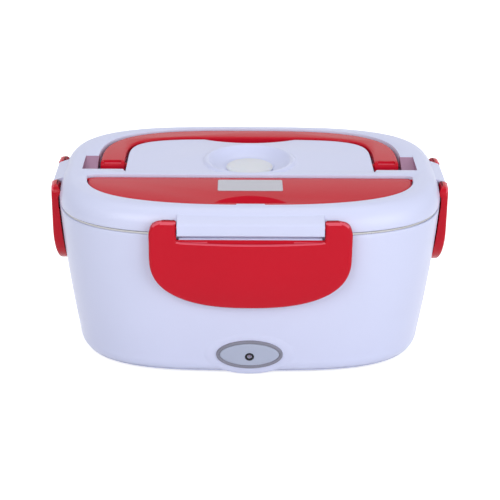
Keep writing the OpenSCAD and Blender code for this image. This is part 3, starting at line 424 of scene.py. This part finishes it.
SILVER = material("silver_plate", (0.38, 0.42, 0.54), 0.4, metallic=0.25, grain=700, bump=0.03, wear=0.1)
BADGE = material("badge_silver", (0.50, 0.50, 0.56), 0.36, metallic=0.3, grain=800, bump=0.05, wear=0.15)
BRASS = material("brass", (0.70, 0.52, 0.22), 0.3, metallic=1, wear=0.15)
FILM = material("heater_film", (0.55, 0.33, 0.08), 0.3, coat=0.5, vary=0.08)
BOARD = material("board_green", (0.02, 0.16, 0.06), 0.4, coat=0.3, vary=0.15)
LED = material("led_tint", (0.30, 0.22, 0.33), 0.2, coat=0.4, spec=0.4, bump=0.01)
WIRE = material("wire_red", (0.35, 0.02, 0.02), 0.45)

BY_SLOT = {
    "white_plastic": WHITE, "inner_plastic": INNER, "red_plastic": RED, "steel_sheet": STEEL,
    "screw_steel": ZINC, "heater_aluminium": ALU, "foot_rubber": RUBBER, "silicone": SILICONE,
    "black_plastic": BLACK, "grey_plastic": GREY, "silver_plate": SILVER, "badge_silver": BADGE,
    "brass": BRASS, "ceramic_heater": FILM, "board_green": BOARD, "led_red": LED, "wire_red": WIRE,
}
for row in frame["record"]["subparts"]:
    ob = nodes[row["node"]]
    ob.data.materials.clear()
    ob.data.materials.append(BY_SLOT[row["material_slot"]])
    shade(ob.data, NODE_ANGLE)


# ---- Case ----
def rise(z):
    """How far the wall has leant out at a height, from 0 at the foot to 1 at the rim."""
    t = (z - TOE_Z) / (RIM_Z - TOE_Z)
    return t + WALL_BOW * t * (1 - t)


def toe(z):
    """How far the rounded foot runs in at a height."""
    if z >= TOE_Z:
        return 0.0
    return TOE_IN * (1 - math.sqrt(max(0.0, 1 - ((TOE_Z - z) / (TOE_Z - FOOT_H)) ** 2)))


def wall(z, inset=0.0):
    r = rise(z) if z >= TOE_Z else 0.0
    d = 2 * (toe(z) + inset)
    return at_z(oval(BASE_L + (CASE_L - BASE_L) * r - d, BASE_W + (CASE_W - BASE_W) * r - d), z)


def wall_d(z, side, foot):
    return foot + (side - foot) * np.minimum(1, rise(z))


TILT = math.atan((CASE_W - BASE_W) / 2 * (1 + WALL_BOW) / (RIM_Z - TOE_Z))
FRONT_Y = -(BASE_W + (CASE_W - BASE_W) * rise(PANEL_Z)) / 2


def on_front(v):
    """Points given in the lamp panel's own frame, with z out of the front wall."""
    a = math.pi / 2 + TILT
    y, z = v[:, 1], v[:, 2]
    return np.column_stack([v[:, 0], FRONT_Y + y * math.cos(a) - z * math.sin(a),
                            PANEL_Z + y * math.sin(a) + z * math.cos(a)])


def case():
    zs = list(np.linspace(JOINT_Z + 0.4, TOE_Z, 10)) + list(np.linspace(TOE_Z + 2, RIM_Z - 0.6, 34))
    outer = [wall(JOINT_Z, 0.5), wall(JOINT_Z + 0.12, 0.15)] + [wall(z) for z in zs]
    outer += [wall(RIM_Z - 0.15, 0.15), wall(RIM_Z, 0.6)]
    inner = [wall(RIM_Z, RIM_T), wall(RIM_Z - 1.2, WALL_T), wall(60, WALL_T), wall(TOE_Z, WALL_T),
             wall(JOINT_Z, 3.2)]
    boss = stack(oval(2 * (PANEL_A + BOSS_A), 2 * (PANEL_Z - FOOT_H + 0.2), 2, 128), [
        (0, -9), (0, -1.2), (-0.2, -0.6), (-0.8, -0.2), (-1.8, 0.02), (-3.6, 0.12), (-8, 0.14)])
    ledges = []
    k = CATCH_OUT
    section = [(1.5, RIM_Z - 0.4), (0.6 - k, RIM_Z - 0.4), (0.2 - k, RIM_Z - 0.6), (-k, RIM_Z - 1),
               (-k, CATCH_Z + 0.25), (0.25 - k, CATCH_Z), (1.5, CATCH_Z)]
    for side, _, _, lug_half, _, turn, _ in SIDES.values():
        half = lug_half - CATCH_SIDE
        ledges.append(moved(extruded([(y - side, z) for y, z in section], (-half, half)), turned(turn)))
    shell = join(loft(outer + inner, caps=False), moved(boss, on_front), *ledges)
    piece(build("case_shell", shell, WHITE), "case", "white_plastic", "outer_case")
    band = [wall(z, inset) for z, inset in (
        (FOOT_H, 0.5), (FOOT_H + 0.15, 0.15), (FOOT_H + 0.5, 0), (3, 0), (3.8, 0),
        (JOINT_Z - 0.35, 0.1), (JOINT_Z - 0.2, 0.5), (JOINT_Z - 0.2, 3))]
    piece(build("base_band", loft(band, caps=False), WHITE), "case", "white_plastic")


# ---- Lid ----
def ring_lid(l_in, w_in, z, rear=None):
    """The lid's outline, run in by l_in at its ends, w_in in front and rear (or w_in) at the back."""
    p = at_z(oval(CASE_L - 2 * l_in, CASE_W - 2 * w_in), z)
    if rear is not None:
        p[:, 1] = np.where(p[:, 1] > 0, p[:, 1] * (CASE_W / 2 - rear) / (CASE_W / 2 - w_in), p[:, 1])
    return p


def handle_plan(g, y0):
    """Plan outline of the folded handle, grown by g, with its legs cut off at y0."""
    outer = half_oval(HANDLE_L + 2 * g, HANDLE_Y - HANDLE_PY + g, BAIL_P, 120) + [0, HANDLE_PY]
    inner = half_oval(HANDLE_L - 2 * LEG_W - 2 * g, HANDLE_Y - BAR_W - HANDLE_PY - g, LOOP_P, 110)
    inner = inner + [0, HANDLE_PY]
    return np.vstack([[HANDLE_L / 2 + g, y0], outer, [-HANDLE_L / 2 - g, y0],
                      [-HANDLE_L / 2 + LEG_W + g, y0], inner[::-1], [HANDLE_L / 2 - LEG_W - g, y0]])


def cover_plan(g):
    """Plan outline of the spoon cover, grown by g all round."""
    a = np.linspace(0, np.pi, 1201)
    front = np.column_stack([-(COVER_L / 2 + g) * spow(np.cos(a), 2 / COVER_P),
                             -COVER_Y - 2 - (COVER_W - 2 + g) * spow(np.sin(a), 2 / COVER_P)])
    corner = COVER_CORNER
    return np.vstack([[-COVER_L / 2 + corner - g, -COVER_Y + g],
                      [-COVER_L / 2 + 1.6 - g, -COVER_Y - 0.7 + g],
                      even(front, 150),
                      [COVER_L / 2 - 1.6 + g, -COVER_Y - 0.7 + g],
                      [COVER_L / 2 - corner + g, -COVER_Y + g]])


def lug(side, half, turn):
    """A lug that holds a latch's stubs. The rear one meets a rounder shoulder, so its top is lower."""
    section = [(6, CORE_Z + 1), (SKIRT_T, CORE_Z + 1), (SKIRT_T, LID_Z)]
    section += [(-3.2 + math.cos(a), LID_Z + 1 + math.sin(a))
                for a in np.radians(np.linspace(270, 180, 7))]
    section += [(-2 + 2.2 * math.cos(a), PIVOT_Z + 1.2 + 2.2 * math.sin(a))
                for a in np.radians(np.linspace(180, 115, 8))]
    section += [(3, LID_TOP - 5), (9, LID_TOP - 3)] if turn == REAR else [(3, LID_TOP - 3.6), (8, LID_TOP - 2)]
    return moved(extruded([(y - side, z) for y, z in section], (-half, half)), turned(turn))


def ear_cuts():
    """Round hollows that the latches' ears turn in."""
    cuts = []
    for side, _, half, lug_half, _, turn, _ in SIDES.values():
        for s in (-1, 1):
            x0, x1 = sorted((s * lug_half, s * (half + 0.4)))
            cuts.append(tool(moved(rod(EAR_R + 0.3, x0, x1, -side - PIVOT_OUT, PIVOT_Z), turned(turn))))
    return cuts


def deck_cuts():
    """The lowered deck inside the handle's loop, and the bore of the vent."""
    hx, front = HANDLE_L / 2 - LEG_W - TROUGH_GAP, DECK_FRONT
    back = half_oval(2 * hx + 2, HANDLE_Y - BAR_W - HANDLE_PY + 1, LOOP_P, 90) + [0, HANDLE_PY]
    deck = np.vstack([[-hx - 1, front + 1.5], [-hx + 0.5, front], [hx - 0.5, front], [hx + 1, front + 1.5],
                      back])
    deck_edge = [(-0.9, DECK_Z), (-0.45, DECK_Z + 0.1), (-0.1, DECK_Z + 0.45), (0.1, DECK_Z + 0.8),
                 (0.35, DECK_Z + 1.2), (0.9, DECK_Z + 1.5), (1.6, DECK_Z + 1.62)]
    return [cutter(deck, deck_edge),
            prism(disc(VENT_R - 2.2, 96, (0, VENT_Y)), CORE_Z + 1.5, LID_TOP + 2)]


def handle_cuts():
    """The handle's trough, and the sloping pockets beside its legs."""
    front, top = -TROUGH_FRONT, LID_TOP
    cuts = [cutter(handle_plan(TROUGH_GAP, front), [
        (-1.0, TROUGH_Z), (-0.3, TROUGH_Z + 0.3), (0, TROUGH_Z + 1), (0, top - 0.5),
        (0.15, top - 0.15), (0.5, top + 0.02), (0.5, top + 2)])]
    section = [(front, top - POCKET_D + 0.6), (front + 0.6, top - POCKET_D), (front + 5, top - POCKET_D),
               (10, top - 1.3), (13, top - 0.35), (15.5, top + 0.03), (15.5, top + 5),
               (front - 0.4, top + 5), (front - 0.4, top + 0.02), (front - 0.1, top - 0.3),
               (front, top - 0.7)]
    for s in (-1, 1):
        x0, x1 = sorted((s * HANDLE_L / 2, s * (HANDLE_L / 2 + POCKET_W)))
        cuts.append(tool(extruded(section, (x0, x1))))
    return cuts


def scoop_cut():
    """The finger recess in front of the handle's bar, kept to the deck's rear strip."""
    floor_z = HANDLE_TOP - SCOOP_DEPTH
    plan = resample(disc(SCOOP_R, 96, (0, HANDLE_Y - BAR_W + SCOOP_R - SCOOP_BITE)), 400)
    scoop = cutter(plan, [
        (0, floor_z), (SCOOP_FLARE - 0.7, floor_z + (DECK_Z - floor_z) * 0.82),
        (SCOOP_FLARE - 0.1, DECK_Z - 0.35), (SCOOP_FLARE + 0.5, DECK_Z - 0.05),
        (SCOOP_FLARE + 0.9, DECK_Z + 0.02), (SCOOP_FLARE + 0.9, DECK_Z + 0.1)])
    strip = prism(np.array([[-SCOOP_X, SCOOP_FRONT], [SCOOP_X, SCOOP_FRONT],
                            [SCOOP_X, SCOOP_BACK], [-SCOOP_X, SCOOP_BACK]]), 90, 120)
    return boolean(scoop, [strip], "INTERSECT")


def cover_cuts():
    """The cover's recess with its finger lip, the spoon's compartment and the slot of the hinge."""
    recess = cutter(cover_plan(0.5), [
        (0, COVER_TOP - COVER_T - 0.1), (0, LID_TOP - 0.6), (0.15, LID_TOP - 0.2),
        (0.6, LID_TOP + 0.02), (0.6, LID_TOP + 2)])
    lip = rounded(LIP_L - 0.6, 4, 0.5) + [0, -COVER_Y - COVER_W + LIP_W - 2.3]
    lip = cutter(lip, [(0, COVER_TOP - 6), (0, LID_TOP - 0.55), (-0.15, LID_TOP - 0.25),
                       (-0.45, LID_TOP - 0.12)])
    room = cover_plan(-3)
    room = room[room[:, 1] < -COVER_Y - 3.2]
    slot = rounded(COVER_L + 1, 6.1, 0.3) + [0, -COVER_Y - 5.6 + 3.05]
    return [boolean(recess, [lip]), prism(room, CORE_Z + 1.2, COVER_TOP),
            prism(slot, COVER_TOP - COVER_PIVOT_DOWN - 3.8, COVER_TOP - 0.9)]


def vent_bowl():
    r0, z0 = VENT_R - 4.0, LID_TOP - 1.5
    section = [(VENT_R + 0.9, DECK_Z - 0.3), (VENT_R + 0.6, DECK_Z + 0.02), (VENT_R + 0.1, DECK_Z + 0.25),
               (VENT_R - 0.3, DECK_Z + 0.8), (VENT_R - 0.8, LID_TOP - 0.35), (VENT_R - 1.6, LID_TOP - 0.1),
               (VENT_R - 2.4, LID_TOP - 0.12), (VENT_R - 3.2, LID_TOP - 0.6), (r0, z0)]
    for i in range(1, 15):
        t = i / 14
        section.append((r0 + (VENT_FLOOR_R - r0) * t, VENT_FLOOR_Z + (z0 - VENT_FLOOR_Z) * (1 - t) ** 1.9))
    section += [(VENT_FLOOR_R - 1, VENT_FLOOR_Z), (STEM_R + 0.3, VENT_FLOOR_Z),
                (STEM_R + 0.05, VENT_FLOOR_Z - 3)]
    return lathe(section[::-1], 128, (0, VENT_Y))


def lid():
    rings = [ring_lid(0.5, 0.5, LID_Z), ring_lid(0.15, 0.15, LID_Z + 0.15), ring_lid(0, 0, LID_Z + 0.5),
             ring_lid(0, 0, SHOULDER_Z)]
    for s in np.radians(np.arange(6, 91, 6)):
        k = 1 - math.cos(s)
        rings.append(ring_lid(SHOULDER_L * k, SHOULDER_W * k,
                              SHOULDER_Z + (LID_TOP - SHOULDER_Z) * math.sin(s), REAR_W * k))
    ob = build("lid_moulding", loft(rings), WHITE)
    hollow = prism(oval(CASE_L - 2 * SKIRT_T, CASE_W - 2 * SKIRT_T), LID_Z - 1, CORE_Z)
    sockets = [tool(rod(1.85, s * SOCKET_X - 2, s * SOCKET_X + 2, HANDLE_PY, HANDLE_PZ)) for s in (-1, 1)]
    boolean(ob, [*ear_cuts(), hollow, *deck_cuts(), *handle_cuts(), scoop_cut(), *cover_cuts(), *sockets])

    # The pockets beside the handle's legs get painted shade, with a painted reflection of the red handle
    def in_pocket(q, n):
        return (HANDLE_L / 2 - 0.5 < abs(q.x) < HANDLE_L / 2 + POCKET_W + 0.1
                and TROUGH_Z - 0.5 < q.z < LID_TOP - 0.3 and -TROUGH_FRONT - 0.3 < q.y < 15.6)

    dress(ob, POCKET_PAINTED_SHADE, in_pocket)
    lugs = [lug(side, lug_half, turn) for side, _, _, lug_half, _, turn, _ in SIDES.values()]
    details = build("lid_details", join(*lugs, vent_bowl()), WHITE)
    weld(details, 0.005)
    piece(ob, "lid", "white_plastic", "lid_shell", "lid_deck", "lid_scoop")
    piece(details, "lid", "white_plastic")


def valve():
    """A domed disc on a stem."""
    z, rim_r, rim_z = VALVE_Z, VALVE_R - 0.7, VALVE_Z + 1.15
    section = [(0.02, z - 4.4), (STEM_R - 0.2, z - 4.2), (STEM_R - 0.1, z - 0.1), (VALVE_R - 1.4, z),
               (VALVE_R - 0.5, z + 0.15), (VALVE_R, z + 0.6), (VALVE_R - 0.15, z + 0.95), (rim_r, rim_z)]
    section += [(rim_r * math.cos(a), rim_z + 1.5 * math.sin(a))
                for a in np.radians(np.linspace(6, 89.9, 16))]
    ob = build("valve_plug", lathe(section, 96, (0, VENT_Y)), SILICONE)
    weld(ob, 0.01)
    piece(ob, "valve", "silicone", "vent_valve")


def handle():
    y, z, r = HANDLE_PY, HANDLE_PZ, HANDLE_END_R
    z0, z1 = HANDLE_TOP - HANDLE_T, HANDLE_TOP
    ob = build("handle_bail", stack(handle_plan(0, y - r), [
        (-1.0, z0), (-0.3, z0 + 0.3), (0, z0 + 1.0), (0, z1 - 1.3), (-0.12, z1 - 0.75),
        (-0.4, z1 - 0.35), (-0.85, z1 - 0.1), (-1.5, z1)]), RED)
    side = [(y + r * math.cos(a), z + r * math.sin(a)) for a in np.radians(np.linspace(270, 90, 33))]
    side += [(HANDLE_Y + 3, z1 + 0.01), (HANDLE_Y + 3, z0 - 0.01), (y + 3, z0 - 0.01)]
    boolean(ob, [tool(extruded(side, (-150, 150)))], "INTERSECT")
    step = rounded(LEG_W - 4.2, 3.6, 0.5)
    boolean(ob, [cutter(step + [s * (HANDLE_L - LEG_W) / 2, y - 2.8],
                        [(0, z1 - 1.5), (0, z1 - 0.5), (0.3, z1 + 0.5)]) for s in (-1, 1)])
    # Painted highlight: the upward faces of the step on each leg's end are a lighter pink red
    dress(ob, RED_PAINTED_HIGHLIGHT, lambda q, n: q.y < y - 0.9 and n.z > 0.9 and q.z < z1 - 1.3)
    stubs = [rod(1.8, s * PIN_X - 3.1, s * PIN_X + 3.1, y, z) for s in (-1, 1)]
    stubs = build("handle_stubs", join(*stubs), RED)
    piece(ob, "handle", "red_plastic", "carry_handle")
    piece(stubs, "handle", "red_plastic")


def cover():
    """The spoon cover with a thumb dish at its front, its hinge stubs and its blank plate."""
    z0, z1 = COVER_TOP - COVER_T, COVER_TOP
    ob = build("cover_flap", stack(cover_plan(0), [
        (-0.25, z0), (0, z0 + 0.25), (0, z1 - 1.35), (-0.15, z1 - 0.95), (-0.6, z1 - 0.5),
        (-1.3, z1 - 0.16), (-2.0, z1)]), RED)
    centre = np.array([0, -COVER_Y - COVER_W - NOTCH_R + 15.8])
    dish_z = z0 - 1.6
    under = tool(lathe([(NOTCH_R - 5, dish_z - 1.2), (NOTCH_R - 1, z0 + 0.2)], 256, centre, caps=True))
    boolean(ob, [boolean(under, [prism(cover_plan(-3.8), z0 - 6, z1 + 3)], "INTERSECT")], "UNION")
    near = cutter(cover_plan(-4.6), [(0, z0 - 6), (0, z1 - 0.4), (0.6, z1 + 0.02), (0.6, z1 + 3)])
    dish = tool(lathe([
        (NOTCH_R - 15, dish_z), (NOTCH_R - 13, dish_z + 0.1), (NOTCH_R - 9.5, dish_z + 0.75),
        (NOTCH_R - 5, dish_z + 1.95), (NOTCH_R - 0.5, z1 - 0.4), (NOTCH_R + 0.15, z1 - 0.08),
        (NOTCH_R + 0.7, z1 + 0.02), (NOTCH_R + 0.7, z1 + 3)], 256, centre, caps=True))
    dish = boolean(dish, [near], "INTERSECT")
    gap = prism(rounded(LIP_L, 4.8, 0.6) + [0, -COVER_Y - COVER_W + LIP_W - 2.4], z0 - 1, z1 + 2)
    boolean(ob, [dish, gap])

    def in_dish(q, n):
        return (n.z > 0.2 and dish_z - 0.2 < q.z < z1 - 0.1 and q.y > centre[1]
                and math.hypot(q.x - centre[0], q.y - centre[1]) < NOTCH_R - 0.1)

    dress(ob, RED_DEEP, in_dish)
    stub_x = COVER_L / 2 - 1.2
    stubs = [rod(0.9, s * stub_x - 3, s * stub_x + 3, -COVER_Y - 3, z1 - COVER_PIVOT_DOWN)
             for s in (-1, 1)]
    stubs = build("cover_stubs", join(*stubs), RED)
    piece(ob, "cover", "red_plastic", "spoon_cover")
    piece(stubs, "cover", "red_plastic")
    rings = [at_z(rounded(BADGE_L - 2 * d, BADGE_W - 2 * d, max(0.1, 1.0 - d)) + [0, -COVER_Y - 15], z1 + z)
             for d, z in ((0, 0), (0, 0.3), (0.12, 0.44), (0.35, 0.5), (1.2, 0.5), (1.35, 0.4), (1.7, 0.4))]
    piece(build("badge_plate", loft(rings), BADGE), "cover", "badge_silver", "blank_plate")


# ---- Latches ----
def arc(cx, cz, r, a0, a1, n):
    return [(cx + r * math.cos(a), cz + r * math.sin(a)) for a in np.radians(np.linspace(a0, a1, n))]


def latch_outline(half, x0, top, corner):
    """A bowl below, an ear at each side of the lug, and a window between them, x0 to each side."""
    a = np.linspace(np.pi, 2 * np.pi, 1201)
    bowl = np.column_stack([half * spow(np.cos(a), 2 / LATCH_P),
                            WIDE_Z + (WIDE_Z - LATCH_Z) * spow(np.sin(a), 2 / LATCH_P)])

    def window(x):
        ear_fillet = 0.4 * max(0, (abs(x) - x0 + 1.5) / 1.5) ** 2
        return SHELF_Z + WINDOW_UP - WINDOW_SAG * (1 - (x / x0) ** 2) + ear_fillet

    pts = [tuple(q) for q in even(bowl, 110)]
    pts += [(half, z) for z in np.linspace(WIDE_Z + 1.5, top - corner - 1, 8)]
    pts += arc(half - corner, top - corner, corner, 0, 90, 14)
    pts += arc(x0 + 1, top - 1, 1, 90, 180, 4)
    pts += [(x0, z) for z in np.linspace(top - 2.4, SHELF_Z + 3.0, 6)]
    pts += [(x, window(x)) for x in np.linspace(x0 - 0.25, -x0 + 0.25, 40)]
    pts += [(-x0, z) for z in np.linspace(SHELF_Z + 3.0, top - 2.4, 6)]
    pts += arc(-x0 - 1, top - 1, 1, 0, 90, 4)
    pts += arc(corner - half, top - corner, corner, 90, 180, 14)
    pts += [(-half, z) for z in np.linspace(top - corner - 1, WIDE_Z + 1.5, 8)]
    return np.array(pts)


def latch(name, side, foot, half, lug_half, plan_r, turn, corner):
    top = PIVOT_Z + EAR_R - (REAR_EAR_DROP if turn == REAR else 0)
    x0 = lug_half + 0.4
    lift = WIDE_Z - 6

    def bow(q):
        return q[:, 0] ** 2 / (2 * plan_r)

    def out(q):
        z = q[:, 1]
        drop = np.clip((lift - z) / (lift - LATCH_Z), 0, 1.1)
        d = LATCH_OUT - 3.3 * drop ** 2
        ear = PIVOT_OUT + np.sqrt(np.clip(EAR_R ** 2 - (z - PIVOT_Z) ** 2, 0, None))
        return np.where(z > PIVOT_Z, np.minimum(d, ear), d) - bow(q)

    def inn(q):
        """Along the wall below the window, along the ear above it, and clear of the catch ledge."""
        z = q[:, 1]
        ear_z = [0, 96.5, 97.56, 98.6, 99.9, 101.2, 101.8, 102.6, 103.4, 103.8]
        ear_d = [0.6, 0.6, 0.55, -0.4, -0.8, -0.47, -0.1, 0.3, 1.0, 1.6]
        d = np.where(z > SHELF_Z, np.interp(z, ear_z, ear_d), wall_d(z, side, foot) - side + LATCH_GAP)
        by_ledge = (np.abs(q[:, 0]) < x0 + 2.4) & (z > SHELF_Z - 3) & (z < 95)
        return np.where(by_ledge, np.maximum(d, 1.5 + bow(q)), d) - bow(q)

    edge = [(0, 1.3), (0.12, 0.75), (0.4, 0.35), (0.85, 0.1), (1.5, 0)]
    v, f = skin(latch_outline(half, x0, top, corner), edge, out, inn, step=2.6)
    v = np.column_stack([v[:, 0], -side - v[:, 2], v[:, 1]])
    plate = v, [tuple(reversed(q)) for q in f]
    section = [(2.6, SHELF_Z - 5), (1.5, SHELF_Z - 4.2), (1.5, WEB_TOP - 0.3), (1.6, WEB_TOP - 0.1),
               (1.8, WEB_TOP), (2.0, WEB_TOP - 0.1), (2.1, WEB_TOP - 0.3), (2.2, SHELF_Z + 1.2),
               (3.2, SHELF_Z - 2.2), (3.2, SHELF_Z - 5)]
    web = extruded([(-side - d, z) for d, z in section], np.linspace(-x0 + 0.05, x0 - 0.05, 25))
    stub_x = lug_half - 0.8
    stubs = [rod(1.2, s * stub_x - 1.8, s * stub_x + 1.8, -side - PIVOT_OUT, PIVOT_Z, 24) for s in (-1, 1)]
    ob = build(name + "_body", moved(join(plate, web, *stubs), turned(turn)), RED)
    weld(ob)
    unturned = turned(-turn)

    # Painted highlight: the upward-facing faces along the window's lower edge and on the ears' tops are a
    # lighter pink red
    def catches_light(c, n):
        u = unturned(np.array([[c.x, c.y, c.z]]))[0]
        on_rim = u[1] < -side - 3.0 + u[0] ** 2 / (2 * plan_r) and n.z > 0.25
        return on_rim and (abs(u[0]) < x0 + 0.2 and u[2] > SHELF_Z - 1 or u[2] > top - 3)

    dress(ob, RED_PAINTED_HIGHLIGHT, catches_light)
    piece(ob, name, "red_plastic", name)


# ---- Lamp panel ----
def lamp():
    """Oval frame, its face with a hole, the lamp's ring in the hole, and the lamp in the ring."""
    o = oval(2 * PANEL_A, 2 * PANEL_B, 2, 128)
    b = PANEL_BORDER
    frame_part = stack(o, [(0, -0.9), (0, 0.55), (-0.1, 0.85), (-0.4, 1.1), (-0.8, 1.2), (-b + 0.8, 1.2),
                           (-b + 0.3, 1.05), (-b + 0.05, 0.75), (-b, 0.3)], caps=False)
    piece(build("lamp_frame", moved(frame_part, on_front), GREY), "case", "grey_plastic", "lamp_bezel")
    q = offset(o, -b - 0.05)
    hole = oval(2 * (LENS_R + 1.05), 2 * (LENS_R + 1.05), 2, 128) - [0, LAMP_DROP]
    rings = [at_z(q, 0.45), at_z(q * 0.995, 0.75)]
    rings += [at_z(q * (1 - t) + hole * t, 0.9 + 0.12 * math.sin(math.pi * t))
              for t in np.linspace(0.05, 1, 10)]
    rings += [at_z(hole, 0.2)]
    plate = moved(loft(rings, caps=False), on_front)
    piece(build("lamp_plate", plate, SILVER), "case", "silver_plate", "lamp_face")
    section = [(LENS_R, -5.9), (LENS_R, 0.55), (LENS_R - 0.35, 0.6), (LENS_R - 0.35, 0.8),
               (LENS_R, 1.1), (LENS_R + 0.3, 1.2), (LENS_R + 0.75, 1.2), (LENS_R + 0.95, 1.0),
               (LENS_R + 1.0, 0.7), (LENS_R + 1.0, -5.9)]
    tube = moved(lathe(section, 64, (0, -LAMP_DROP)), on_front)
    piece(build("lamp_ring", tube, BLACK), "case", "black_plastic", "lamp_holder")
    r = LENS_R - 0.25
    dome = [(0.02, 0.5)]
    dome += [(r * math.sin(a), -0.95 + r * math.cos(a)) for a in np.radians(range(10, 91, 10))]
    dome += [(r, -8), (r + 0.85, -8), (r + 0.85, -9), (0.02, -9)]
    led = moved(lathe(dome[::-1], 48, (0, -LAMP_DROP)), on_front)
    piece(build("lamp_led", led, LED), "case", "led_red", "indicator_led")


case()
lid()
valve()
handle()
cover()
lamp()
for latch_name, sizes in SIDES.items():
    latch(latch_name, *sizes)


# ---- Stage, light and camera ----
def seen_directly(new, link):
    """1 for camera, glossy and transmission rays, which see the background as white; otherwise 0."""
    path, both, third = new("ShaderNodeLightPath"), new("ShaderNodeMath"), new("ShaderNodeMath")
    both.operation = third.operation = "MAXIMUM"
    link(path.outputs["Is Camera Ray"], both.inputs[0])
    link(path.outputs["Is Glossy Ray"], both.inputs[1])
    link(both.outputs[0], third.inputs[0])
    link(path.outputs["Is Transmission Ray"], third.inputs[1])
    return third.outputs[0]


def stage_material(name, colour, glow):
    """A matt surface that glows by a set amount for the rays that see it directly."""
    m = bpy.data.materials.new(name)
    m.use_nodes = True
    m.node_tree.nodes.clear()
    new, link = m.node_tree.nodes.new, m.node_tree.links.new
    out, add, amount = new("ShaderNodeOutputMaterial"), new("ShaderNodeAddShader"), new("ShaderNodeMath")
    dif, em = new("ShaderNodeBsdfDiffuse"), new("ShaderNodeEmission")
    dif.inputs["Color"].default_value = (*colour, 1)
    amount.operation = "MULTIPLY"
    link(seen_directly(new, link), amount.inputs[0])
    amount.inputs[1].default_value = glow
    link(amount.outputs[0], em.inputs["Strength"])
    link(dif.outputs[0], add.inputs[0])
    link(em.outputs[0], add.inputs[1])
    link(add.outputs[0], out.inputs[0])
    return m


def studio_world(colour, strength):
    """Soft light from all round; white for the rays that see it directly."""
    world = bpy.data.worlds.new("studio")
    scene.world = world
    world.use_nodes = True
    world.node_tree.nodes.clear()
    new, link = world.node_tree.nodes.new, world.node_tree.links.new
    out, mix = new("ShaderNodeOutputWorld"), new("ShaderNodeMixShader")
    light, white = new("ShaderNodeBackground"), new("ShaderNodeBackground")
    light.inputs["Color"].default_value, light.inputs["Strength"].default_value = (*colour, 1), strength
    white.inputs["Color"].default_value, white.inputs["Strength"].default_value = (1, 1, 1, 1), 1.0
    link(seen_directly(new, link), mix.inputs[0])
    link(light.outputs[0], mix.inputs[1])
    link(white.outputs[0], mix.inputs[2])
    link(mix.outputs[0], out.inputs[0])


FLOOR = 4000.0                                  # half the floor's side, in mm
corners = np.array([[-FLOOR, -FLOOR, 0], [FLOOR, -FLOOR, 0], [FLOOR, FLOOR, 0], [-FLOOR, FLOOR, 0]])
floor = build("floor", (corners, [(0, 1, 2, 3)]), stage_material("floor_white", (0.8, 0.8, 0.8), 0.68))
studio_world((0.93, 0.95, 1), 0.42)


def lamp_at(name, where, size, power, colour=(1, 1, 1)):
    """A rectangular lamp that faces the middle of the box."""
    data = bpy.data.lights.new(name, "AREA")
    data.shape, data.energy, data.color = "RECTANGLE", power, colour
    data.size, data.size_y = size
    ob = bpy.data.objects.new(name, data)
    scene.collection.objects.link(ob)
    ob.location = where
    ob.rotation_euler = (Vector((0, 0, 0.05)) - Vector(where)).to_track_quat("-Z", "Y").to_euler()
    return ob


lamp_at("key", (-0.6, -0.95, 0.85), (0.7, 0.7), 6.4, (1, 0.99, 0.98))
lamp_at("fill", (0.85, -0.85, 0.45), (0.8, 0.8), 6.8, (0.97, 0.98, 1))
lamp_at("top", (0, 0.25, 1.1), (0.9, 0.6), 2.3)
lamp_at("back", (0.25, 1.3, 0.3), (0.9, 0.7), 4.5).visible_glossy = False

# The camera, as solved from the photograph: angles in degrees, distance in mm from the point it turns
# about, then focal length and image centre in pixels of the frame
TILT_DEG, TURN_DEG, ROLL_DEG, DIST, PIVOT_HEIGHT = 23.257, -0.585, 0.47, 904.98, 50
FRAME_PX, FOCAL_PX, CENTRE_X, CENTRE_Y = 500, 1444.83, 249.035, 251.239
SENSOR_MM = 36
cam_data = bpy.data.cameras.new("camera")
cam = bpy.data.objects.new("camera", cam_data)
scene.collection.objects.link(cam)
th, psi, roll = math.radians(TILT_DEG), math.radians(TURN_DEG), math.radians(ROLL_DEG)
turn = Matrix.Rotation(psi, 3, "Z")
ahead = turn @ Vector((0, math.cos(th), -math.sin(th)))
up0, right0 = turn @ Vector((0, math.sin(th), math.cos(th))), turn @ Vector((1, 0, 0))
up = up0 * math.cos(roll) - right0 * math.sin(roll)
right = right0 * math.cos(roll) + up0 * math.sin(roll)
place = Vector((0, 0, PIVOT_HEIGHT)) - DIST * ahead
cam.matrix_world = Matrix.Translation(place / 1000) @ Matrix((right, up, -ahead)).transposed().to_4x4()
cam_data.sensor_width = SENSOR_MM
cam_data.lens = FOCAL_PX * SENSOR_MM / FRAME_PX
cam_data.shift_x = (FRAME_PX / 2 - CENTRE_X) / FRAME_PX
cam_data.shift_y = (CENTRE_Y - FRAME_PX / 2) / FRAME_PX
cam_data.clip_start, cam_data.clip_end = 0.05, 50
scene.camera = cam
scene.view_settings.view_transform = "Standard"
